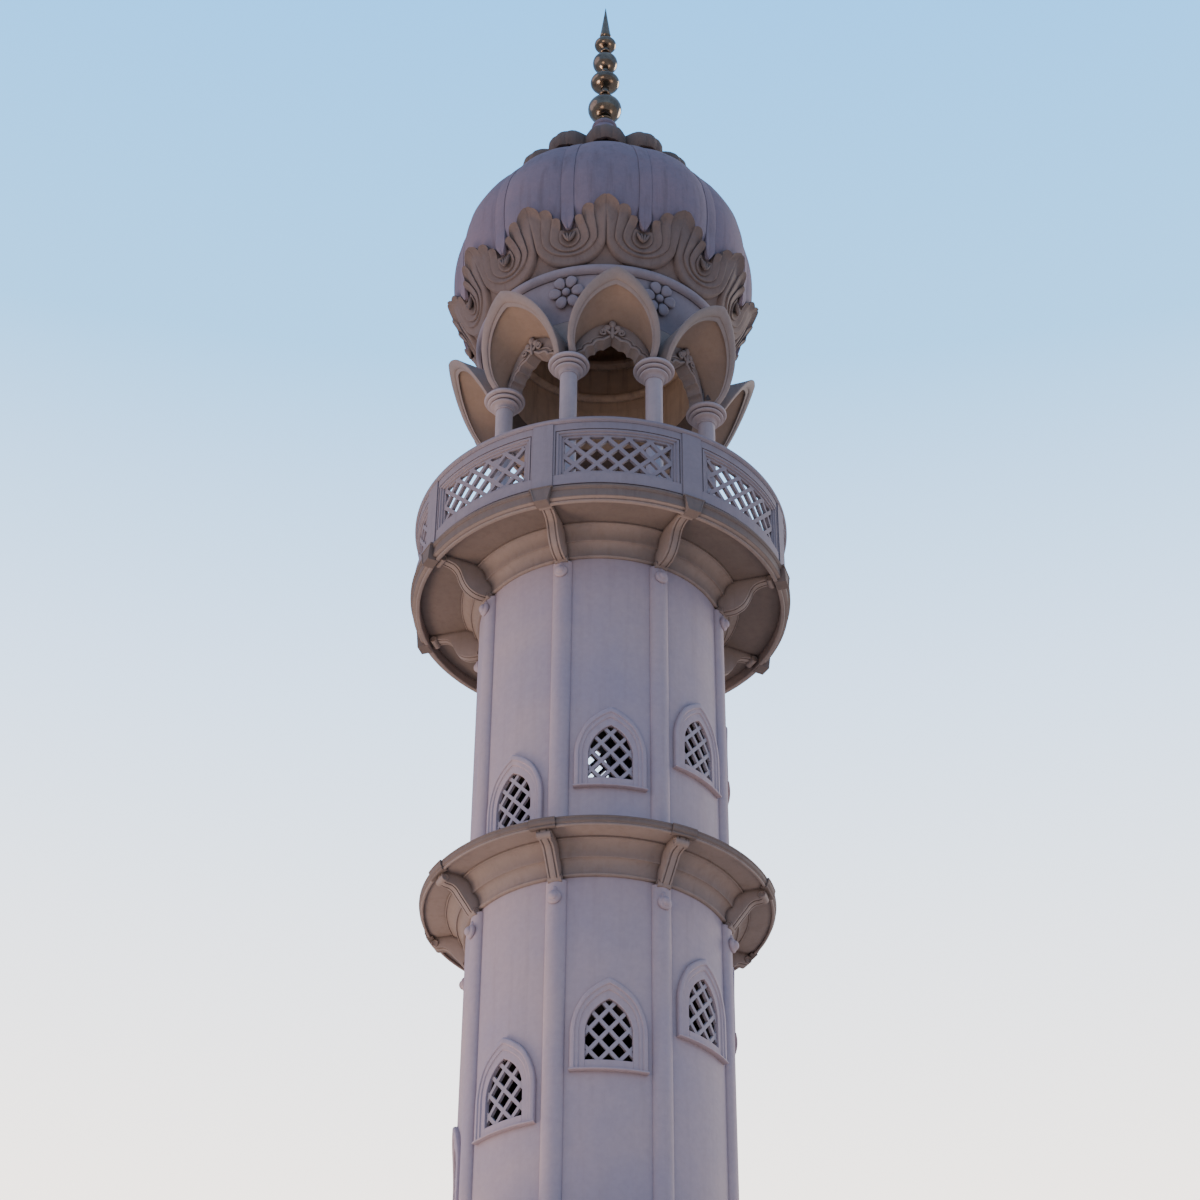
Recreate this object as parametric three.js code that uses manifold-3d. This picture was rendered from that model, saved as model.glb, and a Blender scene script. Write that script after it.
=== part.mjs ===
// A round, ribbed masonry minaret in white plaster: a hollow shaft of three storeys on a stepped
// plinth, two eave galleries, a railed balcony, an open kiosk of eight columns and petal-hooded
// arches, and a lobed onion dome with a leaf collar, a lotus crown and a metal finial.
// Millimetres, +Z up. The origin is the centre of the underside of the plinth, at ground level.
// Azimuths are degrees from the front (-Y) towards +X. Panels face 0, 45, 90 ...; ribs stand between.
import * as THREE from 'three';
import { mergeVertices } from 'three/addons/utils/BufferGeometryUtils.js';
import Module from 'manifold-3d';

const wasm = await Module();
wasm.setup();

// Driving dimensions
const SIDES = 8;
const SECTOR = 360 / SIDES;
const GAP = 0.3;
const SHAFT_R = 1600;
const WALL = 250;
const INNER_R = SHAFT_R - WALL;
const STAIRWELL_R = 700;
const FACET = SECTOR / 3;
const RING_SEGMENTS = 360 / FACET;
// The joints of the wall stand this far past a rib, and every ring has a corner there
const JOINT_PAST_RIB = 5;

// Heights of the three necks, where the plain shaft meets the cornice under a gallery
const LOWER_NECK = 11850;
const MIDDLE_NECK = 16880;
const UPPER_NECK = 21600;
const SLAB_UNDERSIDE = 300;
const SOFFIT_RISE = 370;
const SLAB_TOP = 450;

const PLINTH_TOP = 300;
const BASE_MOULD_TOP = 860;

// The windows climb with a winding stair: a sill on the front panel, and the rise to the next panel
const STAIR = {
  base: { frontSill: 9930, rise: 570, lowest: 3600 },
  middle: { frontSill: 14490, rise: 570, lowest: 12600 },
  upper: { frontSill: 18220, rise: 466, lowest: 17600 },
};
const WINDOW_WIDTH = 540;
const WINDOW_SPRING = 330;
const WINDOW_HEIGHT = 760;
const FRAME_SIDE = 190;
const FRAME_BELOW = 130;
const FRAME_ABOVE = 155;
const FRAME_R = SHAFT_R + 55;

const DOOR_AZIMUTH = 180;
const DOOR_WIDTH = 900;
const DOOR_SPRING = 1500;
const DOOR_HEIGHT = 2100;
// The quarter with the door has a joint over it, under the lowest window
const DOOR_JOINT_Z = 3000;

const RIB_HALF = 125;
const RIB_ROLL_R = 90;
const RIB_STRIP = 12;

const EAVE_R = 2190;
const BRACKET_THICK = 110;
const BRACKET_FOOT = 75;

const FLOOR_Z = 22100;
const BALCONY_R = 2520;
const FASCIA_Z = 21830;
const KERB_Z = 22040;
const PANEL_Z = 22250;
const JALI_Z = 22290;
const JALI_TOP = 22880;
const HANDRAIL_Z = 23100;
const HANDRAIL_TOP = 23180;
const RAIL_IN = 2395;
const RAIL_OUT = 2510;
const POST_HALF_ANGLE = 3.1;
const JALI_HALF_ANGLE = 16.2;
const JALI_COLUMNS = 4;
const JALI_ROWS = 2;
const JALI_BAR = 50;

const COLUMN_RING_R = 1525;
const COLUMN_R = 118;
const CAPITAL_Z = 24840;
const CAPITAL_TOP = 25070;

const ARCADE_TOP = 25900;
const ARCADE_IN = 1320;
const ARCADE_OUT = 1500;
const HOOD_TIP_R = 2220;
const HOOD_TIP_Z = 26200;
const HOOD_THICK = 75;

const RING_MOULD_R = 1820;
const RING_MOULD_Z = 26500;
const DRUM_TOP = 26660;

// The dome, its leaf collar and its lotus have twelve lobes each, turned a little from the panels
const LOBES = 12;
const LOBE_SECTOR = 360 / LOBES;
const DOME_TURN = -4;
const DOME_TOP = 29950;
const DOME_PROFILE = [
  [1640, DRUM_TOP + GAP], [1960, 27050], [2190, 27650], [2195, 28150], [2085, 28650],
  [1860, 29100], [1500, 29500], [1050, 29790], [560, DOME_TOP],
];
const DOME_BAND_ANGLE = 2.4;
const LOBE_DEPTH = 0.035;
const COLLAR_RIM_Z = 27580;
const COLLAR_RIM_FALL = 430;

const LOTUS_TIP_R = 1280;
const LOTUS_TIP_Z = 30150;
const FINIAL_Z = 31480;
const FINIAL_BALLS = [[262, 31846], [223, 32458], [195, 32945], [173, 33372]];
const TIP_Z = 34300;

const radians = (degrees) => THREE.MathUtils.degToRad(degrees);

// A point in plan at an azimuth and a radius
function plan(azimuth, radius) {
  return [radius * Math.sin(radians(azimuth)), -radius * Math.cos(radians(azimuth))];
}

// The same, from a distance across the radius and one along it
function turnedPoint(azimuth, u, v) {
  const turn = radians(azimuth);
  return [u * Math.cos(turn) + v * Math.sin(turn), u * Math.sin(turn) - v * Math.cos(turn)];
}

// Solids from three.js geometries, with shared vertices and faces pointing out
function toSolid(geometry) {
  const bare = geometry.clone();
  bare.deleteAttribute('normal');
  bare.deleteAttribute('uv');
  const merged = mergeVertices(bare, 1e-3);
  const position = merged.getAttribute('position');
  const index = merged.getIndex();
  const kept = [];
  let volume = 0;
  const corner = [new THREE.Vector3(), new THREE.Vector3(), new THREE.Vector3()];
  for (let i = 0; i < index.count; i += 3) {
    const ids = [index.getX(i), index.getX(i + 1), index.getX(i + 2)];
    if (ids[0] === ids[1] || ids[1] === ids[2] || ids[2] === ids[0]) continue;
    ids.forEach((id, n) => corner[n].fromBufferAttribute(position, id));
    volume += corner[0].dot(corner[1].clone().cross(corner[2]));
    kept.push(...ids);
  }
  if (volume < 0) kept.reverse();
  return new wasm.Manifold(new wasm.Mesh({
    numProp: 3,
    vertProperties: Float32Array.from(position.array),
    triVerts: Uint32Array.from(kept),
  }));
}

function toGeometry(solid) {
  const mesh = solid.getMesh();
  const geometry = new THREE.BufferGeometry();
  geometry.setAttribute('position', new THREE.BufferAttribute(Float32Array.from(mesh.vertProperties), 3));
  geometry.setIndex(new THREE.BufferAttribute(Uint32Array.from(mesh.triVerts), 1));
  geometry.computeVertexNormals();
  return geometry;
}

function union(solids) {
  return solids.reduce((all, next) => all.add(next));
}

// A shape drawn in plan, raised from z0 to z1
function raised(points, z0, z1) {
  const shape = new THREE.Shape(points.map(([x, y]) => new THREE.Vector2(x, y)));
  const geometry = new THREE.ExtrudeGeometry(shape, { depth: z1 - z0, bevelEnabled: false });
  geometry.translate(0, 0, z0);
  return toSolid(geometry);
}

// Part of a ring in plan, between two azimuths
function arcBlock(r0, r1, a0, a1, z0, z1, step = FACET) {
  const count = Math.max(1, Math.round((a1 - a0) / step));
  const azimuths = Array.from({ length: count + 1 }, (_, i) => a0 + ((a1 - a0) * i) / count);
  const outer = azimuths.map((a) => plan(a, r1));
  const inner = azimuths.reverse().map((a) => plan(a, r0));
  return raised([...outer, ...inner], z0, z1);
}

// A profile of [radius, z] points turned about the axis; one off the axis closes on itself
function turned(profile, segments = RING_SEGMENTS) {
  const onAxis = profile[0][0] === 0;
  const points = onAxis ? profile : [...profile, profile[0]];
  const start = radians(SECTOR / 2 + JOINT_PAST_RIB);
  const outline = points.map(([r, z]) => new THREE.Vector2(r, z));
  const geometry = new THREE.LatheGeometry(outline, segments, start);
  geometry.rotateX(Math.PI / 2);
  return toSolid(geometry);
}

// An outline of [across, z] points pushed through the wall along a radius, from r0 to r1
function radialPrism(outline, azimuth, r0, r1) {
  const shape = new THREE.Shape(outline.map(([u, z]) => new THREE.Vector2(u, z)));
  const geometry = new THREE.ExtrudeGeometry(shape, { depth: r1 - r0, bevelEnabled: false });
  geometry.rotateX(Math.PI / 2);
  geometry.translate(0, -r0, 0);
  geometry.rotateZ(radians(azimuth));
  return toSolid(geometry);
}

// A profile of [radius, z] points standing on a radius, with a thickness across it
function radialPlate(profile, azimuth, thickness) {
  const shape = new THREE.Shape(profile.map(([r, z]) => new THREE.Vector2(r, z)));
  const geometry = new THREE.ExtrudeGeometry(shape, { depth: thickness, bevelEnabled: false });
  geometry.translate(0, 0, -thickness / 2);
  geometry.rotateX(Math.PI / 2);
  geometry.rotateZ(radians(azimuth - 90));
  return toSolid(geometry);
}

// The outline of a pointed arch: straight jambs to the springing, then two arcs to the apex
function pointedArch(halfWidth, sill, spring, apex, arcPoints = 3) {
  const rise = apex - spring;
  const radius = (halfWidth ** 2 + rise ** 2) / (2 * halfWidth);
  const sweep = Math.atan2(rise, radius - halfWidth);
  const side = [];
  for (let i = 0; i <= arcPoints; i += 1) {
    const angle = (sweep * i) / arcPoints;
    side.push([halfWidth - radius + radius * Math.cos(angle), spring + radius * Math.sin(angle)]);
  }
  side[arcPoints][0] = 0;
  const left = side.slice(0, arcPoints).reverse().map(([u, z]) => [-u, z]);
  return [[-halfWidth, sill], [halfWidth, sill], ...side, ...left];
}

const ribAzimuths = Array.from({ length: SIDES }, (_, i) => SECTOR * (i + 0.5));
const panelAzimuths = Array.from({ length: SIDES }, (_, i) => SECTOR * i);
const lobeAzimuths = Array.from({ length: LOBES }, (_, i) => DOME_TURN + LOBE_SECTOR * i);

// Plinth: two steps and a floor
function plinth() {
  return turned([[0, 0], [2400, 0], [2400, 150], [2150, 150], [2150, PLINTH_TOP], [0, PLINTH_TOP]]);
}

// Base moulding: a ring around the foot of the shaft, open in front of the door
function baseMoulding() {
  const body = turned([
    [SHAFT_R + GAP, PLINTH_TOP + GAP], [1950, PLINTH_TOP + GAP], [1950, 700], [1850, 800],
    [1740, BASE_MOULD_TOP], [SHAFT_R + GAP, BASE_MOULD_TOP],
  ]);
  const half = DOOR_WIDTH / 2 + FRAME_SIDE / 2;
  const gap = [[-half, PLINTH_TOP], [half, PLINTH_TOP], [half, BASE_MOULD_TOP + 1], [-half, BASE_MOULD_TOP + 1]];
  return body.subtract(radialPrism(gap, DOOR_AZIMUTH, INNER_R, 2100));
}

// One rib of the shaft: a flat strip with a rounded roll on it
function rib(azimuth, z0, z1) {
  const front = SHAFT_R + RIB_STRIP;
  const crown = front + RIB_ROLL_R * 0.8;
  const section = [
    [-RIB_HALF, SHAFT_R - 60], [-RIB_HALF, front], [-RIB_ROLL_R, front], [-RIB_ROLL_R * 0.6, crown],
    [RIB_ROLL_R * 0.6, crown], [RIB_ROLL_R, front], [RIB_HALF, front], [RIB_HALF, SHAFT_R - 60],
  ];
  return raised(section.map(([u, v]) => turnedPoint(azimuth, u, v)), z0, z1);
}

// The raised frame round a window, curved with the wall
function windowFrame(azimuth, sill) {
  const half = WINDOW_WIDTH / 2 + FRAME_SIDE;
  const outline = pointedArch(half, sill - FRAME_BELOW, sill + WINDOW_SPRING, sill + WINDOW_HEIGHT + FRAME_ABOVE);
  const slab = arcBlock(SHAFT_R - 30, FRAME_R, azimuth - SECTOR / 2, azimuth + SECTOR / 2,
    sill - FRAME_BELOW - 1, sill + WINDOW_HEIGHT + FRAME_ABOVE + 1);
  return radialPrism(outline, azimuth, SHAFT_R - 300, FRAME_R + 50).intersect(slab);
}

function windowHole(azimuth, sill) {
  const outline = pointedArch(WINDOW_WIDTH / 2, sill, sill + WINDOW_SPRING, sill + WINDOW_HEIGHT);
  return radialPrism(outline, azimuth, INNER_R - 200, FRAME_R + 100);
}

// The sills of the windows on one panel: every turn of the stair that leaves room under the neck
function windowSills(azimuth, stair, neck) {
  const highest = neck - WINDOW_HEIGHT - FRAME_ABOVE - 120;
  const sills = [];
  for (let turn = -3; turn <= 1; turn += 1) {
    const sill = stair.frontSill + stair.rise * (azimuth / SECTOR + SIDES * turn);
    if (sill >= stair.lowest && sill <= highest) sills.push(sill);
  }
  return sills;
}

// A quarter of one storey's wall, with two ribs, two panels and their windows
function wallQuarter(quarter, z0, z1, ribFoot, neck, stair, doorAzimuth = null) {
  const firstRib = SECTOR * 2 * quarter - SECTOR * 1.5;
  const start = firstRib + JOINT_PAST_RIB;
  const ribs = [firstRib + SECTOR, firstRib + SECTOR * 2];
  const panels = [firstRib + SECTOR / 2, firstRib + SECTOR * 1.5];
  const joint = [[-GAP / 2, z0 - 1], [GAP / 2, z0 - 1], [GAP / 2, z1 + 1], [-GAP / 2, z1 + 1]];
  let wall = arcBlock(INNER_R, SHAFT_R, start, start + SECTOR * 2, z0, z1);
  [start, start + SECTOR * 2].forEach((azimuth) => {
    wall = wall.subtract(radialPrism(joint, azimuth, INNER_R - 100, SHAFT_R + 100));
  });
  ribs.forEach((azimuth) => {
    wall = wall.add(rib(azimuth, ribFoot, neck - BRACKET_FOOT - GAP));
  });
  panels.forEach((azimuth) => {
    windowSills(azimuth, stair, neck).forEach((sill) => {
      wall = wall.add(windowFrame(azimuth, sill)).subtract(windowHole(azimuth, sill));
    });
    if (azimuth === doorAzimuth) {
      const outline = pointedArch(DOOR_WIDTH / 2, z0 - 1, PLINTH_TOP + DOOR_SPRING, PLINTH_TOP + DOOR_HEIGHT);
      wall = wall.subtract(radialPrism(outline, azimuth, INNER_R - 200, SHAFT_R + 200));
    }
  });
  return wall;
}

// A gallery's scrolled bracket: its outline stands on a radius and reaches out to the soffit
function bracket(azimuth, neck, reach) {
  const soffit = neck + SOFFIT_RISE + 20;
  const stretch = (reach - SHAFT_R) / 500;
  const along = (d) => SHAFT_R + d * stretch;
  const outline = [
    [SHAFT_R + 20, soffit], [SHAFT_R + 3, neck - BRACKET_FOOT], [SHAFT_R + 100, neck - BRACKET_FOOT],
    [along(180), neck - 30], [along(300), neck + 170], [along(390), neck + 265],
    [reach, neck + 310], [reach, soffit],
  ];
  return radialPlate(outline, azimuth, BRACKET_THICK);
}

// The profile that the galleries share: the slab through the wall and the cove under its soffit
function galleryUnderside(neck) {
  return [
    [STAIRWELL_R, neck + SLAB_UNDERSIDE], [SHAFT_R + GAP, neck + SLAB_UNDERSIDE],
    [SHAFT_R + GAP, neck - 20], [SHAFT_R + 28, neck - 20], [SHAFT_R + 100, neck + 140],
    [SHAFT_R + 175, neck + 260], [SHAFT_R + 250, neck + SOFFIT_RISE],
  ];
}

// An eave gallery, with a stairwell inside, a moulded edge outside and eight brackets
function eaveGallery(neck) {
  const slab = turned([
    ...galleryUnderside(neck), [EAVE_R - 60, neck + SOFFIT_RISE], [EAVE_R - 60, neck + 340],
    [EAVE_R - 15, neck + 340], [EAVE_R, neck + 385], [EAVE_R, neck + SLAB_TOP],
    [STAIRWELL_R, neck + SLAB_TOP],
  ]);
  return union([slab, ...ribAzimuths.map((azimuth) => bracket(azimuth, neck, EAVE_R - 65))]);
}

function balcony() {
  const slab = turned([
    ...galleryUnderside(UPPER_NECK), [2410, UPPER_NECK + SOFFIT_RISE], [2410, FASCIA_Z],
    [BALCONY_R - 10, FASCIA_Z + 40], [BALCONY_R - 10, KERB_Z - 50], [BALCONY_R + 20, KERB_Z - 40],
    [BALCONY_R + 20, KERB_Z], [RAIL_IN - 5, KERB_Z], [RAIL_IN - 5, FLOOR_Z], [STAIRWELL_R, FLOOR_Z],
  ]);
  const block = [[-105, FASCIA_Z - 15], [105, FASCIA_Z - 15], [150, KERB_Z], [-150, KERB_Z]];
  return union([
    slab,
    ...ribAzimuths.map((azimuth) => bracket(azimuth, UPPER_NECK, 2400)),
    ...ribAzimuths.map((azimuth) => radialPrism(block, azimuth, 2430, BALCONY_R + 55)),
  ]);
}

// The kerb of the railing with its eight posts
function railingPosts() {
  const kerb = turned([
    [RAIL_IN + 10, KERB_Z + GAP], [RAIL_OUT - 5, KERB_Z + GAP],
    [RAIL_OUT - 5, PANEL_Z], [RAIL_IN + 10, PANEL_Z],
  ]);
  const posts = ribAzimuths.map((azimuth) => arcBlock(RAIL_IN, RAIL_OUT + 10,
    azimuth - POST_HALF_ANGLE, azimuth + POST_HALF_ANGLE, KERB_Z + GAP, HANDRAIL_Z - GAP, 4));
  return union([kerb, ...posts]);
}

function handrail() {
  return turned([
    [RAIL_IN - 20, HANDRAIL_Z], [RAIL_OUT + 10, HANDRAIL_Z], [RAIL_OUT + 25, HANDRAIL_Z + 25],
    [RAIL_OUT + 25, HANDRAIL_Z + 60], [RAIL_OUT + 10, HANDRAIL_TOP], [RAIL_IN - 20, HANDRAIL_TOP],
  ]);
}

// A pierced panel between two posts: a frame with a lattice of crossing diagonal bars
function latticePanel(azimuth) {
  const side = SECTOR / 2 - POST_HALF_ANGLE - 0.02;
  const low = PANEL_Z + GAP;
  const high = HANDRAIL_Z - GAP;
  const window = arcBlock(RAIL_IN - 100, RAIL_OUT + 100, azimuth - JALI_HALF_ANGLE,
    azimuth + JALI_HALF_ANGLE, JALI_Z, JALI_TOP, JALI_HALF_ANGLE);
  const frame = arcBlock(RAIL_IN + 15, RAIL_OUT - 5, azimuth - side, azimuth + side, low, high, side)
    .subtract(window);
  let plate = arcBlock(2435, 2480, azimuth - JALI_HALF_ANGLE - 0.5, azimuth + JALI_HALF_ANGLE + 0.5,
    JALI_Z - 20, JALI_TOP + 20, JALI_HALF_ANGLE + 0.5);
  const cellAngle = (2 * JALI_HALF_ANGLE) / JALI_COLUMNS;
  const cellHeight = (JALI_TOP - JALI_Z) / JALI_ROWS;
  const across = (radians(cellAngle) * 2460) / 2 - JALI_BAR * 0.72;
  const up = cellHeight / 2 - JALI_BAR * 0.72;
  const holes = [];
  for (let i = -JALI_COLUMNS; i <= JALI_COLUMNS; i += 1) {
    for (let j = 0; j <= 2 * JALI_ROWS; j += 1) {
      if ((i + j) % 2 !== 0) continue;
      const z = JALI_Z + (j * cellHeight) / 2;
      const diamond = [[-across, z], [0, z - up], [across, z], [0, z + up]];
      holes.push(radialPrism(diamond, azimuth + (i * cellAngle) / 2, 2380, 2560));
    }
  }
  plate = plate.subtract(union(holes).intersect(window));
  return frame.add(plate);
}

// A turned column with a round base and a spreading capital
function column() {
  return turned([
    [0, FLOOR_Z + GAP], [190, FLOOR_Z + GAP], [190, FLOOR_Z + 90], [COLUMN_R, FLOOR_Z + 190],
    [COLUMN_R, CAPITAL_Z], [170, CAPITAL_Z + 60], [282, CAPITAL_Z + 140],
    [282, CAPITAL_TOP], [0, CAPITAL_TOP],
  ], 8);
}

// The cusped opening of an arch: three lobes a side, rising to a point
function cuspedOutline(z0) {
  const side = [[455, z0], [455, z0 + 110], [390, z0 + 180], [330, z0 + 200], [315, z0 + 260],
    [240, z0 + 320], [170, z0 + 330], [150, z0 + 370], [70, z0 + 400], [0, z0 + 470]];
  const left = side.slice(0, -1).reverse().map(([u, z]) => [-u, z]);
  return [[-455, z0 - 50], [455, z0 - 50], ...side.slice(1), ...left.slice(0, -1)];
}

// A solid through [across, z] outlines that stand at growing radii on one azimuth
function radialLoft(sections, azimuth) {
  const size = sections[0].outline.length;
  const positions = sections.flatMap(({ radius, outline }) => outline.flatMap(
    ([u, z]) => [...turnedPoint(azimuth, u, radius), z],
  ));
  const index = [];
  for (let s = 0; s < sections.length - 1; s += 1) {
    for (let k = 0; k < size; k += 1) {
      const here = s * size + k;
      const next = s * size + ((k + 1) % size);
      index.push(here, next, next + size, here, next + size, here + size);
    }
  }
  const flat = sections[0].outline.map(([u, z]) => new THREE.Vector2(u, z));
  const last = (sections.length - 1) * size;
  THREE.ShapeUtils.triangulateShape(flat, []).forEach(([a, b, c]) => {
    index.push(a, c, b, last + a, last + b, last + c);
  });
  const geometry = new THREE.BufferGeometry();
  geometry.setAttribute('position', new THREE.Float32BufferAttribute(positions, 3));
  geometry.setIndex(index);
  return toSolid(geometry);
}

// The arch of a hood at a radius: it widens and rises on its way out from the wall
function hoodArch(radius, shrink) {
  const share = (radius - ARCADE_OUT) / (HOOD_TIP_R - ARCADE_OUT);
  const foot = CAPITAL_TOP + GAP;
  const apex = 25850 + (HOOD_TIP_Z - 25850) * share - shrink * 1.4;
  const half = 530 + 80 * Math.min(share * 1.6, 1) - shrink;
  return pointedArch(half, foot, foot + 0.3 * (apex - foot), apex);
}

// A hood over an arch: a hollow petal that leans out from two capitals to a pointed tip
function petalHood(azimuth) {
  const radii = [ARCADE_OUT - 70, 1750, HOOD_TIP_R + 80];
  const shell = (shrink, more) => radialLoft(radii.map((radius, i) => ({
    radius: radius + (i === 0 ? -more : more), outline: hoodArch(radius, shrink),
  })), azimuth);
  const foot = CAPITAL_TOP + GAP;
  const side = [[ARCADE_OUT - 70, foot], [1600, foot]];
  [0.25, 0.5, 0.8, 1].forEach((rise) => side.push([
    1600 + (HOOD_TIP_R - 1600) * rise ** 0.85, foot + (HOOD_TIP_Z - foot) * rise,
  ]));
  side.push([HOOD_TIP_R, HOOD_TIP_Z + 100], [ARCADE_OUT - 70, HOOD_TIP_Z + 100]);
  return shell(0, 0).subtract(shell(HOOD_THICK, 5)).intersect(radialPlate(side, azimuth, 1600));
}

// One bay of the arcade: the wall over a cusped arch, and its hood
function arcadeBay(azimuth) {
  const half = SECTOR / 2 - 0.01;
  const wall = arcBlock(ARCADE_IN, ARCADE_OUT, azimuth - half, azimuth + half,
    CAPITAL_TOP + GAP, ARCADE_TOP - GAP, SECTOR / 4);
  const opening = radialPrism(cuspedOutline(CAPITAL_TOP), azimuth, ARCADE_IN - 300, ARCADE_OUT + 60);
  return wall.subtract(opening).add(petalHood(azimuth));
}

// The drum over the arcade, flaring to a round moulding under the dome
function kioskDrum() {
  return turned([
    [ARCADE_IN, ARCADE_TOP], [ARCADE_OUT, ARCADE_TOP], [1640, 26180], [1745, RING_MOULD_Z - 20],
    [RING_MOULD_R - 30, RING_MOULD_Z], [RING_MOULD_R, RING_MOULD_Z + 60],
    [RING_MOULD_R - 20, RING_MOULD_Z + 130], [1750, DRUM_TOP], [ARCADE_IN, DRUM_TOP],
  ]);
}

// A closed ring of loops, one at each azimuth: a loop is a list of [radius, z] points
function ringLoft(azimuths, loopAt) {
  const loops = azimuths.map((azimuth) => loopAt(azimuth).map(([r, z]) => [...plan(azimuth, r), z]));
  const size = loops[0].length;
  const index = [];
  loops.forEach((_, c) => {
    const here = c * size;
    const next = ((c + 1) % loops.length) * size;
    for (let k = 0; k < size; k += 1) {
      const up = (k + 1) % size;
      index.push(here + k, next + k, next + up, here + k, next + up, here + up);
    }
  });
  const geometry = new THREE.BufferGeometry();
  geometry.setAttribute('position', new THREE.Float32BufferAttribute(loops.flat(2), 3));
  geometry.setIndex(index);
  return toSolid(geometry);
}

// Azimuths round the dome: two edges for each band, and three places on the lobe beside it
function domeAzimuths() {
  const inLobe = [-DOME_BAND_ANGLE, DOME_BAND_ANGLE, 9, LOBE_SECTOR / 2, LOBE_SECTOR - 9];
  return lobeAzimuths.flatMap((lobe) => inLobe.map((a) => lobe + LOBE_SECTOR / 2 + a));
}

// How far out the dome stands at an azimuth, as a share of its profile: a lobe between two bands
function lobeShare(azimuth) {
  const fromLobe = (azimuth - DOME_TURN) / LOBE_SECTOR;
  return 1 - LOBE_DEPTH * Math.sin(Math.PI * fromLobe) ** 2;
}

function lobedDome() {
  const inside = [[250, DOME_TOP], [250, DOME_TOP - 170], [1250, 29480], [1880, 28500], [1480, DRUM_TOP + GAP]];
  return ringLoft(domeAzimuths(), (azimuth) => [
    ...DOME_PROFILE.map(([r, z]) => [r * lobeShare(azimuth), z]),
    ...inside,
  ]);
}

// The leaf collar round the foot of the dome: a cup with a scalloped rim that curls outwards
function leafCollar() {
  const steps = [-10, -5, 0, 5, 10, LOBE_SECTOR / 2];
  const azimuths = lobeAzimuths.flatMap((lobe) => steps.map((a) => lobe + a));
  return ringLoft(azimuths, (azimuth) => {
    const fromLobe = Math.abs(((azimuth - DOME_TURN + 360) % LOBE_SECTOR + LOBE_SECTOR / 2)
      % LOBE_SECTOR - LOBE_SECTOR / 2);
    const rim = COLLAR_RIM_Z - COLLAR_RIM_FALL * (fromLobe / (LOBE_SECTOR / 2)) ** 1.5;
    const share = (rim - DRUM_TOP) / (COLLAR_RIM_Z - DRUM_TOP);
    const inner = (z) => domeRadiusAt(z) + 3;
    const middle = DRUM_TOP + 390;
    return [
      [inner(DRUM_TOP + GAP), DRUM_TOP + GAP], [1745, DRUM_TOP + GAP], [1960, middle - 120],
      [2000 + 235 * share, rim], [inner(rim), rim - 20], [inner(middle), middle],
    ];
  });
}

// The dome's greatest radius at a height
function domeRadiusAt(z) {
  const above = DOME_PROFILE.findIndex((point) => point[1] > z);
  if (above < 1) return DOME_PROFILE[0][0];
  const [r0, z0] = DOME_PROFILE[above - 1];
  const [r1, z1] = DOME_PROFILE[above];
  return r0 + ((r1 - r0) * (z - z0)) / (z1 - z0);
}

// The lotus on the crown of the dome: twelve petals that curl outwards round a fluted cone
function lotus() {
  const cone = turned([
    [0, DOME_TOP + GAP], [540, DOME_TOP + GAP], [560, 30250], [430, 30500], [310, 31000],
    [250, FINIAL_Z - 60], [270, FINIAL_Z], [0, FINIAL_Z],
  ], LOBES);
  const petal = [
    [400, DOME_TOP + 40], [LOTUS_TIP_R - 260, DOME_TOP - 20], [LOTUS_TIP_R - 40, LOTUS_TIP_Z - 170],
    [LOTUS_TIP_R, LOTUS_TIP_Z - 20], [LOTUS_TIP_R - 60, LOTUS_TIP_Z], [400, LOTUS_TIP_Z + 130],
  ];
  const footprint = [[-80, 380], [80, 380], [300, 1080], [190, 1250], [-190, 1250], [-300, 1080]];
  const petals = lobeAzimuths.map((azimuth) => {
    const leaf = footprint.map(([u, v]) => turnedPoint(azimuth, u, v));
    return radialPlate(petal, azimuth, 800).intersect(raised(leaf, DOME_TOP - 100, LOTUS_TIP_Z + 200));
  });
  return union([cone, ...petals]);
}

// A ball of the finial, as part of a turned profile
function ballProfile(radius, z, neck) {
  const start = Math.asin(neck / radius);
  return Array.from({ length: 5 }, (_, i) => {
    const angle = start + ((Math.PI - 2 * start) * i) / 4;
    return [radius * Math.sin(angle), z - radius * 0.92 * Math.cos(angle)];
  });
}

function finial() {
  return turned([
    [0, FINIAL_Z + GAP], [150, FINIAL_Z + GAP], [126, 31600],
    ...FINIAL_BALLS.flatMap(([radius, z]) => ballProfile(radius, z, 66)),
    [82, 33600], [0, TIP_Z],
  ], 10);
}

const nodes = new THREE.Group();

function addNode(name, solid, material) {
  const mesh = new THREE.Mesh(toGeometry(solid), material);
  mesh.name = name;
  nodes.add(mesh);
}

const plaster = new THREE.MeshStandardMaterial({ color: 0xd9d3cd, roughness: 0.85, metalness: 0 });
const brass = new THREE.MeshStandardMaterial({ color: 0x9c8a70, roughness: 0.25, metalness: 1 });

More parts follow.
